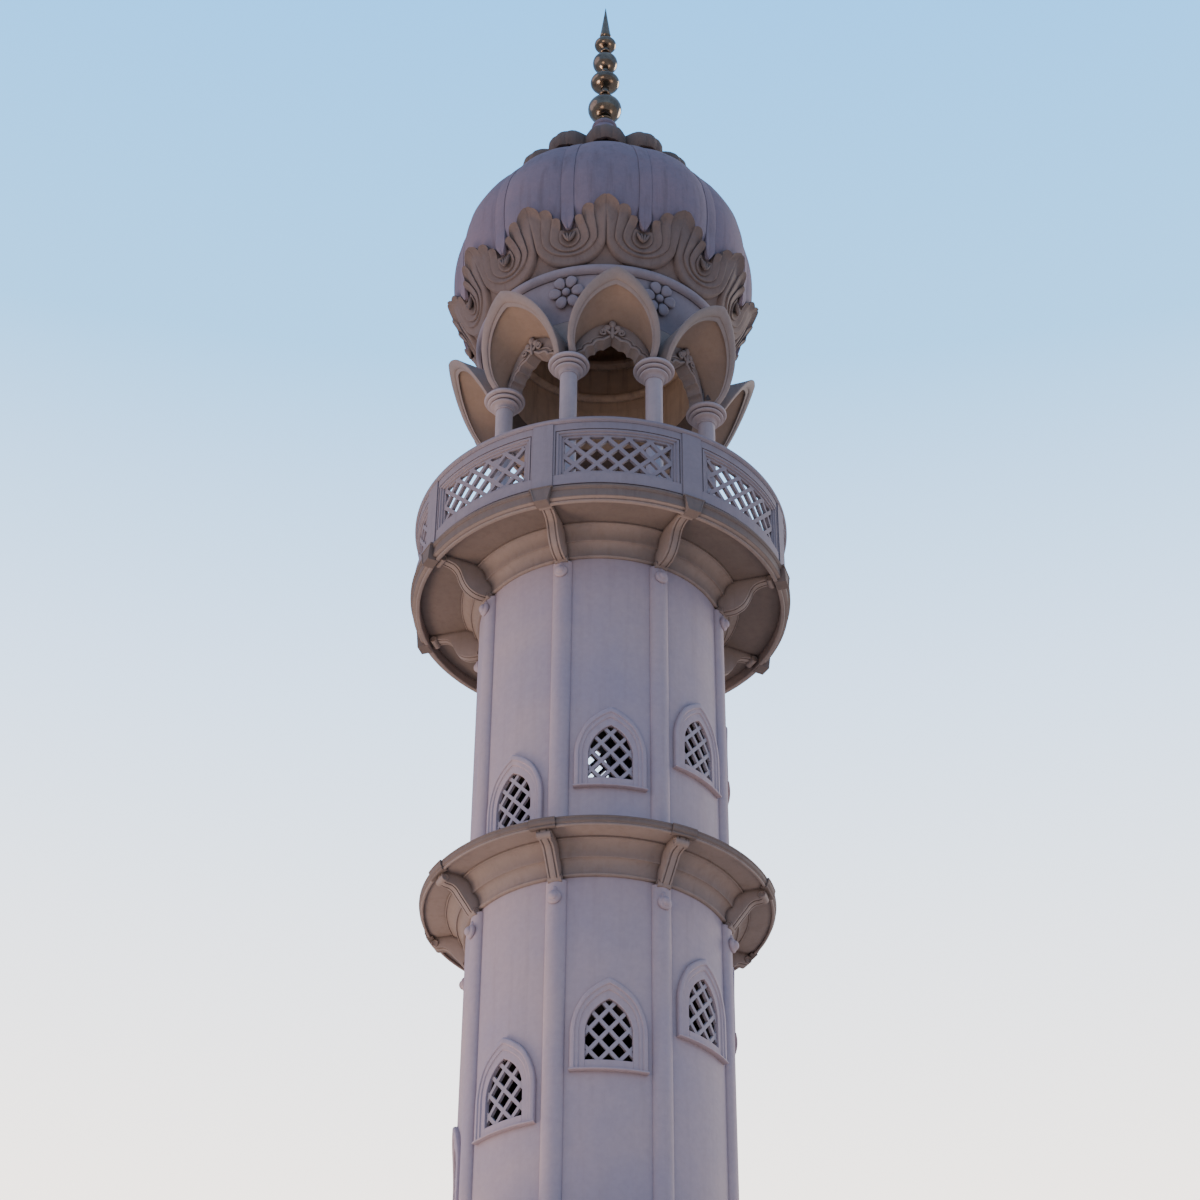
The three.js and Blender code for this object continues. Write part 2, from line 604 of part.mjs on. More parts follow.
addNode('plinth', plinth(), plaster);
addNode('base_moulding', baseMoulding(), plaster);
const storeys = [
  ['base_wall', PLINTH_TOP + GAP, LOWER_NECK, BASE_MOULD_TOP + GAP, STAIR.base, DOOR_AZIMUTH],
  ['middle_wall', LOWER_NECK + SLAB_TOP + GAP, MIDDLE_NECK, null, STAIR.middle, null],
  ['upper_wall', MIDDLE_NECK + SLAB_TOP + GAP, UPPER_NECK, null, STAIR.upper, null],
];
storeys.forEach(([name, z0, neck, ribFoot, stair, door]) => {
  for (let quarter = 0; quarter < 4; quarter += 1) {
    let wall = wallQuarter(quarter, z0, neck + SLAB_UNDERSIDE - GAP, ribFoot ?? z0, neck, stair, door);
    if (door !== null && Math.floor(door / (SECTOR * 2)) === quarter) {
      addNode('doorway_wall', wall.trimByPlane([0, 0, -1], -DOOR_JOINT_Z), plaster);
      wall = wall.trimByPlane([0, 0, 1], DOOR_JOINT_Z + GAP);
    }
    addNode(`${name}_${quarter + 1}`, wall, plaster);
  }
});
addNode('lower_gallery', eaveGallery(LOWER_NECK), plaster);
addNode('middle_gallery', eaveGallery(MIDDLE_NECK), plaster);
addNode('balcony', balcony(), plaster);
addNode('railing_kerb_and_posts', railingPosts(), plaster);
addNode('handrail', handrail(), plaster);
panelAzimuths.forEach((azimuth, i) => addNode(`railing_panel_${i + 1}`, latticePanel(azimuth), plaster));
ribAzimuths.forEach((azimuth, i) => {
  const [x, y] = plan(azimuth, COLUMN_RING_R);
  addNode(`kiosk_column_${i + 1}`, column().translate([x, y, 0]), plaster);
});
panelAzimuths.forEach((azimuth, i) => addNode(`hooded_arch_${i + 1}`, arcadeBay(azimuth), plaster));
addNode('kiosk_drum', kioskDrum(), plaster);
addNode('leaf_collar', leafCollar(), plaster);
addNode('dome', lobedDome(), plaster);
addNode('lotus_crown', lotus(), plaster);
addNode('finial', finial(), brass);

export default nodes;
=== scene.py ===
"""Looks of the minaret: lime-plastered masonry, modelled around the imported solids.

Metres, +Z up, the same frame as the solids. Azimuths are degrees from the front (-Y) towards +X.
"""
from math import asin, atan2, copysign, cos, degrees, hypot, pi, radians, sin, sqrt

import bmesh
import bpy
from bpy import ops
from mathutils import Matrix, Vector


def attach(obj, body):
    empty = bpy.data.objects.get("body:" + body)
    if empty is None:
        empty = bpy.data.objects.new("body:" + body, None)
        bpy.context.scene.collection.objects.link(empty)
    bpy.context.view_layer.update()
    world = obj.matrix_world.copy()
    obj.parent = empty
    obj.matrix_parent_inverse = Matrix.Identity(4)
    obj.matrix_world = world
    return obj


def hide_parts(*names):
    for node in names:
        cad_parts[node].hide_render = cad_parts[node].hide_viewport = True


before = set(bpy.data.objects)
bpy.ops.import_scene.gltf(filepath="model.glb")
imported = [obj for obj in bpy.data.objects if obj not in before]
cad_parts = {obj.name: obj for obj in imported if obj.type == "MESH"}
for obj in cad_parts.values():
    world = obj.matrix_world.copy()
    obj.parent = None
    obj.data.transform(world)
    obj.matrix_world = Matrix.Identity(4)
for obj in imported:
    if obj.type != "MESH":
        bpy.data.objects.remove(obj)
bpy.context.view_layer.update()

# Sizes of the tower, as its solids have them
SECTOR = 45.0
RIBS = [SECTOR * (i + 0.5) for i in range(8)]
PANELS = [SECTOR * i for i in range(8)]
SHAFT_R = 1.6
INNER_R = 1.35
STAIRWELL_R = 0.7
GAP = 0.0003
ROUND = 192
LOWER_NECK, MIDDLE_NECK, UPPER_NECK = 11.85, 16.88, 21.6
SLAB_UNDER, SOFFIT_RISE, SLAB_TOP = 0.3, 0.37, 0.45
PLINTH_TOP = 0.3
BASE_MOULD_TOP = 0.86
EAVE_R = 2.19

DOOR_HALF, DOOR_SPRING, DOOR_APEX = 0.45, PLINTH_TOP + 1.5, PLINTH_TOP + 2.1
WINDOW_HALF = 0.27
WINDOW_SPRING = 0.33
WINDOW_HEIGHT = 0.76
FRAME_SIDE = 0.19
FRAME_BELOW = 0.13
FRAME_ABOVE = 0.155
# Each storey's windows: the sill height at the front, its rise from panel to panel, and the lowest sill
STAIRS = {"base": (9.93, 0.57, 3.6), "middle": (14.49, 0.57, 12.6), "upper": (18.22, 0.466, 17.6)}

FLOOR_Z = 22.1
FASCIA_R = 2.495
KERB_FOOT = 22.0403
RAIL_R = 2.46
PANEL_Z = 22.25
LATTICE_Z, LATTICE_TOP = 22.29, 22.88
HANDRAIL_Z = 23.1
LATTICE_HALF = radians(16.2) * RAIL_R
POST_EDGE = radians(SECTOR / 2 - 3.1 - 0.02) * RAIL_R

COLUMN_RING_R = 1.525
CAPITAL_TOP = 25.07
ARCADE_IN, ARCADE_OUT, ARCADE_TOP = 1.32, 1.5, 25.9
HOOD_TIP_R, HOOD_TIP_Z = 2.22, 26.2
HOOD_STEPS = 60
DRUM_TOP = 26.66

LOBES = 12
LOBE_SECTOR = 30.0
DOME_TURN = -4.0
EYES = [DOME_TURN + LOBE_SECTOR * (i + 0.5) for i in range(LOBES)]
DOME_TOP = 29.95
FINIAL_Z = 31.48
TIP_Z = 34.3


# Colours and materials

def linear(code):
    """An sRGB hex colour as linear red, green, blue and alpha."""
    parts = [int(code[i:i + 2], 16) / 255 for i in (1, 3, 5)]
    return tuple(c / 12.92 if c <= 0.04045 else ((c + 0.055) / 1.055) ** 2.4 for c in parts) + (1.0,)


def add(tree, kind, links=None, values=None, **settings):
    """Adds a node with its settings, its input values and its links from other nodes' sockets."""
    node = tree.nodes.new("ShaderNode" + kind)
    for key, value in settings.items():
        setattr(node, key, value)
    for key, value in (values or {}).items():
        node.inputs[key].default_value = value
    for key, socket in (links or {}).items():
        tree.links.new(socket, node.inputs[key])
    return node


def ramp(tree, fac, stops):
    """A colour ramp between stops: a place and a hex colour."""
    node = add(tree, "ValToRGB", {"Fac": fac})
    elements = node.color_ramp.elements
    while len(elements) < len(stops):
        elements.new(0.5)
    for element, (place, colour) in zip(elements, stops):
        element.position = place
        element.color = linear(colour)
    return node.outputs["Color"]


def mix(tree, kind, *inputs):
    """Mixes two colours: a share and two colours, each as a socket, a number or a hex colour."""
    node = add(tree, "Mix", data_type="RGBA", blend_type=kind, clamp_factor=True)
    for index, value in zip((0, 6, 7), inputs):
        if isinstance(value, (float, str)):
            node.inputs[index].default_value = linear(value) if isinstance(value, str) else value
        else:
            tree.links.new(value, node.inputs[index])
    return node.outputs[2]


def noise(tree, place, scale, detail, rough=0.5):
    """Noise, its scale in cycles per metre."""
    return add(tree, "TexNoise", {"Vector": place}, {"Scale": scale, "Detail": detail,
        "Roughness": rough}).outputs["Fac"]


def colour_in(tree, shader, colour, spread, stops, shade_and_dirt):
    """Gives a shader its colour, darkened near corners, within a spread in metres, by ambient occlusion:
    painted shade, partly dirt.
    """
    corner = add(tree, "AmbientOcclusion", values={"Distance": spread}, samples=6)
    share = ramp(tree, corner.outputs["AO"], stops)
    tree.links.new(mix(tree, "MIX", share, colour, shade_and_dirt), shader.inputs["Base Color"])


def emboss(tree, shader, height, strength, depth):
    bump = add(tree, "Bump", {"Height": height}, {"Strength": strength, "Distance": depth})
    tree.links.new(bump.outputs["Normal"], shader.inputs["Normal"])


def new_material(name):
    """A material, its node tree, its shader and the place of each point in metres."""
    material = bpy.data.materials.new(name)
    material.use_nodes = True
    tree = material.node_tree
    return material, tree, tree.nodes["Principled BSDF"], add(tree, "TexCoord").outputs["Object"]


def lime_plaster(name, colours, streaks, patch=0.55):
    """Lime plaster, trowelled and limewashed: matt, with cloudy patches, rain streaks, and painted shade,
    partly dirt, in corners.
    """
    material, tree, shader, place = new_material(name)
    warm, cool, grime, corner_shade_and_dirt = colours.split()
    # Clouds of limewash, one to two metres across
    clouds = ramp(tree, noise(tree, place, patch, 5.0, 0.6), [(0.36, "#000000"), (0.64, "#ffffff")])
    colour = mix(tree, "MIX", clouds, warm, cool)
    # Rain streaks, about 60 mm wide and a metre or more long
    tall = add(tree, "Mapping", {"Vector": place}, {"Scale": (9.0, 9.0, 0.55)})
    runs = noise(tree, tall.outputs["Vector"], 1.0, 6.0, 0.65)
    run_mask = ramp(tree, runs, [(0.5, "#000000"), (0.78, "#ffffff")])
    run_share = add(tree, "Math", {0: run_mask}, {1: streaks}, operation="MULTIPLY")
    colour = mix(tree, "MIX", run_share.outputs[0], colour, grime)
    # Small blotches of dust and flaking wash, 40 to 90 mm
    specks = ramp(tree, noise(tree, place, 14.0, 4.0, 0.7), [(0.3, "#585858"), (0.7, "#ffffff")])
    colour = mix(tree, "MULTIPLY", 0.1, colour, specks)
    # Painted shade: near corners ambient occlusion darkens the colour towards the fourth colour, partly dirt
    colour_in(tree, shader, colour, 0.07, [(0.35, "#d0d0d0"), (0.85, "#000000")], corner_shade_and_dirt)
    shader.inputs["Roughness"].default_value = 0.85
    shader.inputs["IOR"].default_value = 1.5
    # Trowel marks of 50 to 120 mm and a sandy grain of 8 mm, drawn coarser than real so that it shows
    trowel, grain = noise(tree, place, 9.0, 3.0), noise(tree, place, 120.0, 2.0)
    height = add(tree, "Math", {0: grain, 2: trowel}, {1: 0.22}, operation="MULTIPLY_ADD")
    emboss(tree, shader, height.outputs[0], 0.16, 0.01)
    return material


def polished_brass(name):
    """Spun brass, polished and weathered to a bronze tone, dark in its necks."""
    material, tree, shader, place = new_material(name)
    film = noise(tree, place, 7.0, 6.0, 0.7)
    colour = mix(tree, "MIX", ramp(tree, film, [(0.35, "#000000"), (0.7, "#ffffff")]), "#8f8170", "#5a4e45")
    colour_in(tree, shader, colour, 0.08, [(0.35, "#ffffff"), (0.85, "#000000")], "#2b2119")
    shader.inputs["Metallic"].default_value = 1.0
    # Lathe marks run round the axis, about 6 mm apart
    lathe = add(tree, "Mapping", {"Vector": place}, {"Scale": (0.4, 0.4, 160.0)})
    emboss(tree, shader, noise(tree, lathe.outputs["Vector"], 1.0, 2.0), 0.12, 0.002)
    rough = add(tree, "MapRange", {"Value": film}, {"From Min": 0.3, "From Max": 0.7, "To Min": 0.1,
        "To Max": 0.26})
    tree.links.new(rough.outputs["Result"], shader.inputs["Roughness"])
    return material


def pale_floor(name):
    """A pale matt studio floor with a barely visible cloudiness."""
    material, tree, shader, place = new_material(name)
    cloud = noise(tree, place, 0.2, 3.0)
    tree.links.new(mix(tree, "MIX", cloud, "#dccab8", "#d2c0ae"), shader.inputs["Base Color"])
    shader.inputs["Roughness"].default_value = 0.9
    return material


# Each plaster's four colours: warm and cool limewash, rain grime, and the painted shade in its corners
LIMEWASH = lime_plaster("shaft_limewash", "#b6a5a9 #a69ba8 #8d7d7a #87787a", 0.2)
# Painted shade and warm bounce light: a darker, warmer copy of the limewash for the eaves, their brackets and
# the balcony slab
SOFFIT = lime_plaster("eave_plaster_dusty", "#9a8a82 #8c7f79 #6d5c52 #3a2c25", 0.3)
RAIL = lime_plaster("railing_limewash", "#998d92 #8c838b #72645f #3c322e", 0.24)
GRILLE = lime_plaster("grille_limewash", "#aaa0a7 #9d96a1 #7d726f #463c38", 0.12)
ARCADE = lime_plaster("arcade_limewash", "#9b8b85 #8e837e #7b6659 #3c2b22", 0.22)
COLUMN = lime_plaster("column_limewash", "#b5a7a9 #a59da4 #7b6659 #3c2b22", 0.22)
# Painted shade: a still darker copy of the plaster for the balcony fascia and soffit flat, the eaves' outer
# edges and blocks, the keystones and the arches' inner faces
SHADED_PLASTER = lime_plaster("balcony_soffit_sooty", "#7d6f68 #726660 #574841 #33271f", 0.3)
# Painted warm bounce light: a warmer copy of the arcade plaster for the hollow side of the hoods
LINING = lime_plaster("hood_lining_dusty", "#a18b7a #937f72 #786354 #3c2d25", 0.3)
# Painted light: a lighter, warmer copy of the plaster brightens the inside of the drum and the dome
INSIDE = lime_plaster("kiosk_lining_sooty", "#cfbbaa #b8a493 #7d6a5b #352821", 0.55)
PAVING = lime_plaster("balcony_paving_pale", "#d8c8b6 #cbbba9 #9a8876 #5a4a3e", 0.1)
# Painted shade: a near-black copy of the plaster for the window reveals and the inside of the wall, where
# only shade falls
SHADE = lime_plaster("stairwell_plaster_bare", "#4a403b #3a332f #2a2320 #14100e", 0.3)
# Painted shade: a darker copy of the limewash for the collar of leaves
LEAVES = lime_plaster("leaf_plaster_stained", "#81716a #746763 #54453e #2b201a", 0.4)
# Painted shade: a darker, greyer copy of the limewash for the dome, its ribbons and the lotus cone
DOME = lime_plaster("dome_limewash_grey", "#8c7a84 #7d7381 #605051 #342826", 0.45, patch=0.8)
LOTUS = lime_plaster("lotus_lip_weathered", "#7c685c #6a5c55 #43362f #201813", 0.5)
BRASS = polished_brass("finial_brass_polished")


# Modelling, as by hand

def mm(*numbers):
    """Points in metres from pairs of millimetres."""
    return [(a / 1000, b / 1000) for a, b in zip(numbers[::2], numbers[1::2])]


def new_object(name, data):
    thing = bpy.data.objects.new(name, data)
    bpy.context.scene.collection.objects.link(thing)
    return thing


def take(*pieces):
    """Selects pieces, the last of them active."""
    ops.object.select_all(action="DESELECT")
    for piece in pieces:
        piece.select_set(True)
    bpy.context.view_layer.objects.active = pieces[-1]


def edit(piece):
    take(piece)
    ops.object.mode_set(mode="EDIT")
    select_whole()


def leave():
    ops.object.mode_set(mode="OBJECT")


def select_whole():
    ops.mesh.select_all(action="SELECT")


def pull(*way):
    """In edit mode, extrudes what is selected."""
    ops.mesh.extrude_region_move(TRANSFORM_OT_translate={"value": way})


def reach(co):
    """The distance from the axis."""
    return hypot(co.x, co.y)


def drawn(co, share, lift=0.0):
    """A point moved to a share of its distance from the axis, and lifted."""
    return Vector((co.x * share, co.y * share, co.z + lift))


def pick(piece, wanted, kind="FACE"):
    """In edit mode, selects only the faces, edges or vertices that a test accepts."""
    ops.mesh.select_mode(type=kind)
    ops.mesh.select_all(action="DESELECT")
    mesh = bmesh.from_edit_mesh(piece.data)
    items = {"FACE": mesh.faces, "EDGE": mesh.edges, "VERT": mesh.verts}[kind]
    for item in items:
        if wanted(item):
            item.select_set(True)
    bmesh.update_edit_mesh(piece.data)


def nudge(piece, move):
    """In edit mode, moves each selected vertex to where a rule puts it."""
    mesh = bmesh.from_edit_mesh(piece.data)
    for vertex in mesh.verts:
        if vertex.select:
            vertex.co = move(vertex.co)
    bmesh.update_edit_mesh(piece.data)


def shape(piece, move):
    """Moves every vertex of a finished mesh to where a rule puts it."""
    for vertex in piece.data.vertices:
        vertex.co = move(vertex.co.copy())
    piece.data.update()


def close_up(piece):
    """Merges doubles, fills open ends and turns the normals out."""
    edit(piece)
    ops.mesh.remove_doubles(threshold=1e-5)
    ops.mesh.fill_holes(sides=0)
    select_whole()
    ops.mesh.normals_make_consistent(inside=False)
    leave()


def modify(piece, kind, **settings):
    """Adds a modifier with its settings and applies it."""
    modifier = piece.modifiers.new(kind.lower(), kind)
    for key, value in settings.items():
        setattr(modifier, key, value)
    take(piece)
    ops.object.modifier_apply(modifier=modifier.name)


def modify_and_close(piece, kind, **settings):
    modify(piece, kind, **settings)
    close_up(piece)


def grid(columns, rows, size=2):
    """A flat grid in the plane z = 0; at its usual size its corners are at 1 and -1."""
    ops.mesh.primitive_grid_add(x_subdivisions=columns, y_subdivisions=rows, size=size)
    return bpy.context.object


def draw(name, points, closed=False):
    """Draws a line by extruding one point, and stays in edit mode with all of it selected."""
    ops.mesh.primitive_plane_add(size=0.1)
    piece = bpy.context.object
    piece.name = name
    edit(piece)
    ops.mesh.select_mode(type="VERT")
    ops.mesh.merge(type="CENTER")
    line = [Vector(p) for p in points] + ([Vector(points[0])] if closed else [])
    ops.transform.translate(value=line[0])
    for here, there in zip(line, line[1:]):
        pull(*(there - here))
    select_whole()
    if closed:
        ops.mesh.remove_doubles(threshold=1e-5)
    return piece


def turned(name, profile, steps=ROUND):
    """A profile of (radius, z) points spun about the axis; one that starts on the axis isn't closed."""
    piece = draw(name, [(r, 0.0, z) for r, z in profile], closed=profile[0][0] > 0)
    ops.mesh.spin(steps=steps, angle=2 * pi, center=(0, 0, 0), axis=(0, 0, 1))
    leave()
    close_up(piece)
    return piece


def prism(name, outline, way):
    """A closed outline, filled and pulled out along a vector."""
    piece = draw(name, outline, closed=True)
    ops.mesh.edge_face_add()
    pull(*way)
    leave()
    close_up(piece)
    return piece


def strip(name, section, half, steps):
    """A moulding drawn in section, as (radius, z) points, and pulled out flat from -half to half."""
    piece = draw(name, [(-half, -r, z) for r, z in section], closed=True)
    for _ in range(steps):
        pull(2 * half / steps, 0, 0)
    leave()
    close_up(piece)
    return piece


def wrap(piece, radius):
    """Bends a flat piece round the axis: its width along X becomes an arc of this radius."""
    def bend(co):
        angle = co.x / radius
        return Vector((-co.y * sin(angle), co.y * cos(angle), co.z))
    shape(piece, bend)
    return piece


def slices(piece, half, count):
    """Cuts a flat piece across at equal steps, so that it can bend."""
    edit(piece)
    for i in range(1, count):
        select_whole()
        ops.mesh.bisect(plane_co=(half * (2 * i / count - 1), 0, 0), plane_no=(1, 0, 0))
    leave()


def turn(piece, azimuth, lift=0.0):
    piece.data.transform(Matrix.Translation((0, 0, lift)) @ Matrix.Rotation(radians(azimuth), 4, "Z"))
    return piece


def twin(piece, name, azimuth=0.0, lift=0.0):
    """A copy with its own mesh, turned about the axis and lifted."""
    take(piece)
    ops.object.duplicate(linked=False)
    copy = bpy.context.object
    copy.name = name
    return turn(copy, azimuth, lift)


def ring_of(piece, name, azimuths):
    """Copies a piece to several azimuths and joins them into one."""
    return join(name, [twin(piece, name, a) for a in azimuths[1:]] + [turn(piece, azimuths[0])])


def join(name, pieces):
    take(*pieces)
    if len(pieces) > 1:
        ops.object.join()
    whole = bpy.context.object
    whole.name = name
    return whole


def cut(piece, cutters, operation="DIFFERENCE"):
    """Cuts a piece with others, which are then gone."""
    cutter = join("cutter", cutters)
    modify(piece, "BOOLEAN", operation=operation, object=cutter, solver="EXACT")
    bpy.data.objects.remove(cutter)


def rod(name, points, radius):
    """A round bead along a line of points."""
    curve = bpy.data.curves.new(name, "CURVE")
    curve.dimensions = "3D"
    curve.bevel_depth = radius
    curve.bevel_resolution = 3
    curve.use_fill_caps = True
    spline = curve.splines.new("POLY")
    spline.points.add(len(points) - 1)
    for place, point in zip(spline.points, points):
        place.co = (*point, 1.0)
    take(new_object(name, curve))
    ops.object.convert(target="MESH")
    piece = bpy.context.object
    close_up(piece)
    return piece


def knob(size, place, tilt=0.0, rings=10):
    """A rounded lump: a sphere pressed to a size, tilted about Y and set in place."""
    ops.mesh.primitive_uv_sphere_add(segments=2 * rings, ring_count=rings, radius=1.0)
    piece = bpy.context.object
    piece.data.transform(Matrix.Translation(place) @ Matrix.Rotation(tilt, 4,
        "Y") @ Matrix.Diagonal((*size, 1.0)))
    return piece


def smooth_line(points, per_span=6):
    """Points of a smooth curve through the given ones."""
    line = []
    last = len(points) - 1
    for i in range(last):
        a, b, c, d = (Vector(points[max(0, min(last, i + k))]) for k in (-1, 0, 1, 2))
        for k in range(per_span):
            t = k / per_span
            line.append(0.5 * (2 * b + (c - a) * t + (2 * a - 5 * b + 4 * c - d) * t ** 2
                + (3 * b - 3 * c + d - a) * t ** 3))
    line.append(Vector(points[last]))
    return line


def radius_at(line, z):
    """The radius of a rising line of (radius, z) points at a height."""
    for (r0, z0), (r1, z1) in zip(line, line[1:]):
        if z0 <= z <= z1:
            return r0 + (r1 - r0) * (z - z0) / max(z1 - z0, 1e-6)
    return line[0][0] if z < line[0][1] else line[-1][0]


def point_at(path, share):
    """The point at a share of the way along a path, counted in its points."""
    t = share * (len(path) - 1)
    i = min(int(t), len(path) - 2)
    return path[i].lerp(path[i + 1], t - i)


def offset(line, distance):
    """A line of (across, up) points moved sideways by a distance, to its left."""
    moved = []
    for i, (u, z) in enumerate(line):
        u0, z0 = line[max(i - 1, 0)]
        u1, z1 = line[min(i + 1, len(line) - 1)]
        length = hypot(u1 - u0, z1 - z0) or 1.0
        moved.append((u - distance * (z1 - z0) / length, z + distance * (u1 - u0) / length))
    return moved


def paint(piece, material, *coats):
    """Gives a piece its material and, for each (material, test) coat, the faces that the test accepts."""
    piece.data.materials.clear()
    piece.data.materials.append(material)
    for index, (coat, wanted) in enumerate(coats, 1):
        piece.data.materials.append(coat)
        for face in piece.data.polygons:
            if wanted(face):
                face.material_index = index
    return piece


def place(piece, material=None, nodes=(), slot="plaster", crease=32.0):
    """Finishes a piece: material, unless it is painted, smooth shading, body and CAD nodes. Its slot is not
    used.
    """
    if material:
        paint(piece, material)
    take(piece)
    ops.object.shade_smooth_by_angle(angle=radians(crease))
    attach(piece, "root")
    if nodes:
        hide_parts(*nodes)


def place_copies(piece, name, azimuths, node=None, **finish):
    """Finishes numbered copies of a piece round the axis, each for the CAD node with its number."""
    for i, azimuth in enumerate(azimuths, 1):
        place(twin(piece, f"{name}_{i}", azimuth), nodes=[f"{node}_{i}"] if node else (), **finish)
    bpy.data.objects.remove(piece)


def arch_radius(half, rise):
    """The radius of each side of a pointed arch."""
    return (half ** 2 + rise ** 2) / (2 * half)


def pointed_arch(half, sill, spring, apex, steps=12):
    """The outline of a pointed arch as (across, up) points, from the left foot round to the right."""
    rise = apex - spring
    radius = arch_radius(half, rise)
    sweep = atan2(rise, radius - half)
    side = [(half - radius + radius * cos(sweep * i / steps), spring + radius * sin(sweep * i / steps))
        for i in range(steps)]
    return [(-half, sill), *[(-u, z) for u, z in side], (0.0, apex), *side[::-1], (half, sill)]


def arch_block(name, y, depth, *arch):
    """A block with the outline of a pointed arch, to cut with."""
    return prism(name, [(u, y, z) for u, z in pointed_arch(*arch)], (0, depth, 0))


# The camera stands where the photograph was taken, 27 m in front and at eye height

def set_camera():
    data = bpy.data.cameras.new("camera")
    data.sensor_width = 36.0
    data.lens = 75.6
    data.clip_end = 2000.0
    camera = new_object("camera", data)
    heading, pitch, roll = radians(-4.988), radians(37.378), radians(0.5152)
    place = Matrix.Translation((-2.3414, -26.763, 1.6))
    tilt = Matrix.Rotation(pi / 2 + pitch, 4, "X") @ Matrix.Rotation(roll, 4, "Z")
    camera.matrix_world = place @ Matrix.Rotation(heading, 4, "Z") @ tilt
    bpy.context.scene.camera = camera


def sun(name, towards, strength, colour, spread):
    data = bpy.data.lights.new(name, "SUN")
    data.energy, data.color, data.angle = strength, linear(colour)[:3], radians(spread)
    new_object(name, data).rotation_euler = Vector(towards).to_track_quat("-Z", "Y").to_euler()


def set_studio():
    """Plain soft light: a pale sky all round, a broad warm light from the left and a low one behind."""
    world = bpy.data.worlds.new("studio")
    bpy.context.scene.world = world
    world.use_nodes = True
    # An even sky lights the tower. The camera sees it blue overhead and nearly white low down
    tree = world.node_tree
    background = tree.nodes["Background"]
    background.inputs["Color"].default_value = linear("#9fc0ee")
    background.inputs["Strength"].default_value = 1.0
    height = add(tree, "SeparateXYZ", {"Vector": add(tree, "TexCoord").outputs["Generated"]}).outputs["Z"]
    glow = ramp(tree, height, [(0.4, "#fff6ee"), (0.57, "#b6cfec"), (0.68, "#6da9d8"), (0.8, "#4f9ad8")])
    seen = add(tree, "Background", {"Color": glow}, {"Strength": 3.5})
    rays = add(tree, "LightPath")
    both = add(tree, "MixShader", {0: rays.outputs["Is Camera Ray"], 1: background.outputs[0],
        2: seen.outputs[0]})
    tree.links.new(both.outputs[0], tree.nodes["World Output"].inputs["Surface"])
    sun("broad_light", (1.0, 0.1, -0.22), 0.72, "#ffd8c6", 60)
    sun("back_light", (-0.75, -0.5, -0.3), 1.8, "#fff0dc", 30)
    # Three broad warm lights near the ground reach up under the eaves
    for name, x, y, power in (("low_light_left", -20.0, 2.0, 4500.0), ("low_light_front", -15.0, -27.0,
            2000.0), ("low_light_right", 20.0, -6.0, 1150.0)):
        data = bpy.data.lights.new(name, "AREA")
        data.shape, data.size, data.energy, data.color = "SQUARE", 12.0, power, linear("#ffdcc4")[:3]
        lamp = new_object(name, data)
        lamp.location = (x, y, 3.0)
        lamp.rotation_euler = (Vector((0, 0, 17)) - lamp.location).to_track_quat("-Z", "Y").to_euler()
        lamp.visible_camera = False
    ops.mesh.primitive_plane_add(size=700.0, location=(0, 0, -0.003))
    floor = bpy.context.object
    floor.name = "floor"
    floor.data.materials.append(pale_floor("pale_floor"))


set_camera()
set_studio()


# Plinth

def make_plinth():
    piece = turned("plinth_steps", [*mm(0, 0, 2400, 0, 2400, 138, 2388, 150, 2150, 150, 2150, 288),
        (2.138, PLINTH_TOP), (1.95, PLINTH_TOP), *mm(1950, 655, 1944, 672, 1930, 680, 1905, 688, 1885, 710,
        1872, 745, 1852, 775, 1815, 795, 1785, 800, 1778, 815, 1762, 842, 1735, 858), (1.72, BASE_MOULD_TOP),
        (SHAFT_R + GAP, BASE_MOULD_TOP), (SHAFT_R + GAP, PLINTH_TOP), (0, PLINTH_TOP)])
    gap = prism("gap", [(-0.545, 1.4, PLINTH_TOP + 0.001), (0.545, 1.4, PLINTH_TOP + 0.001),
        (0.545, 1.4, 1.0), (-0.545, 1.4, 1.0)], (0, 0.7, 0))
    cut(piece, [gap])
    place(piece, LIMEWASH, ["plinth", "base_moulding"])


# Windows: a moulded frame that follows the wall, a thin sill, and a grille of crossed bars

def window_places(storey, neck):
    """Azimuth and sill height of each window: they climb to the right, once round in eight panels."""
    front, rise, lowest = STAIRS[storey]
    highest = neck - WINDOW_HEIGHT - FRAME_ABOVE - 0.12
    places = [(panel, front + rise * (panel / SECTOR + 8 * lap)) for panel in PANELS for lap in range(-3, 2)]
    return [(panel, sill) for panel, sill in places if lowest <= sill <= highest]


def arch_moulding(name, section, half, foot, spring, apex):
    """A moulding, drawn as (offset, radius) points, up both jambs and round a pointed arch, still flat."""
    radius = arch_radius(half, apex - spring)
    piece = draw(name, [(half + off, -r, foot) for off, r in section], closed=True)
    pull(0, 0, spring - foot)
    ops.mesh.spin(steps=16, angle=radians(80), center=(half - radius, 0, spring), axis=(0, 1, 0))
    select_whole()
    ops.mesh.bisect(plane_co=(0, 0, 0), plane_no=(1, 0, 0), clear_inner=True)
    leave()
    modify_and_close(piece, "MIRROR", merge_threshold=1e-4)
    return piece


def lattice(cell_width, cell_height, cells, bar, r_in, r_out):
    """A flat lattice of crossed bars in the plane of a wall, with a cell's middle at its origin."""
    piece = grid(cells, cells, cells)
    shape(piece, lambda co: Vector(((co.x - co.y) / 2 * cell_width, -r_out,
        (co.x + co.y) / 2 * cell_height)))
    edit(piece)
    ops.mesh.select_mode(type="FACE")
    ops.mesh.inset(thickness=bar / 2, use_individual=True)
    ops.mesh.delete(type="FACE")
    select_whole()
    pull(0, r_out - r_in, 0)
    leave()
    close_up(piece)
    return piece


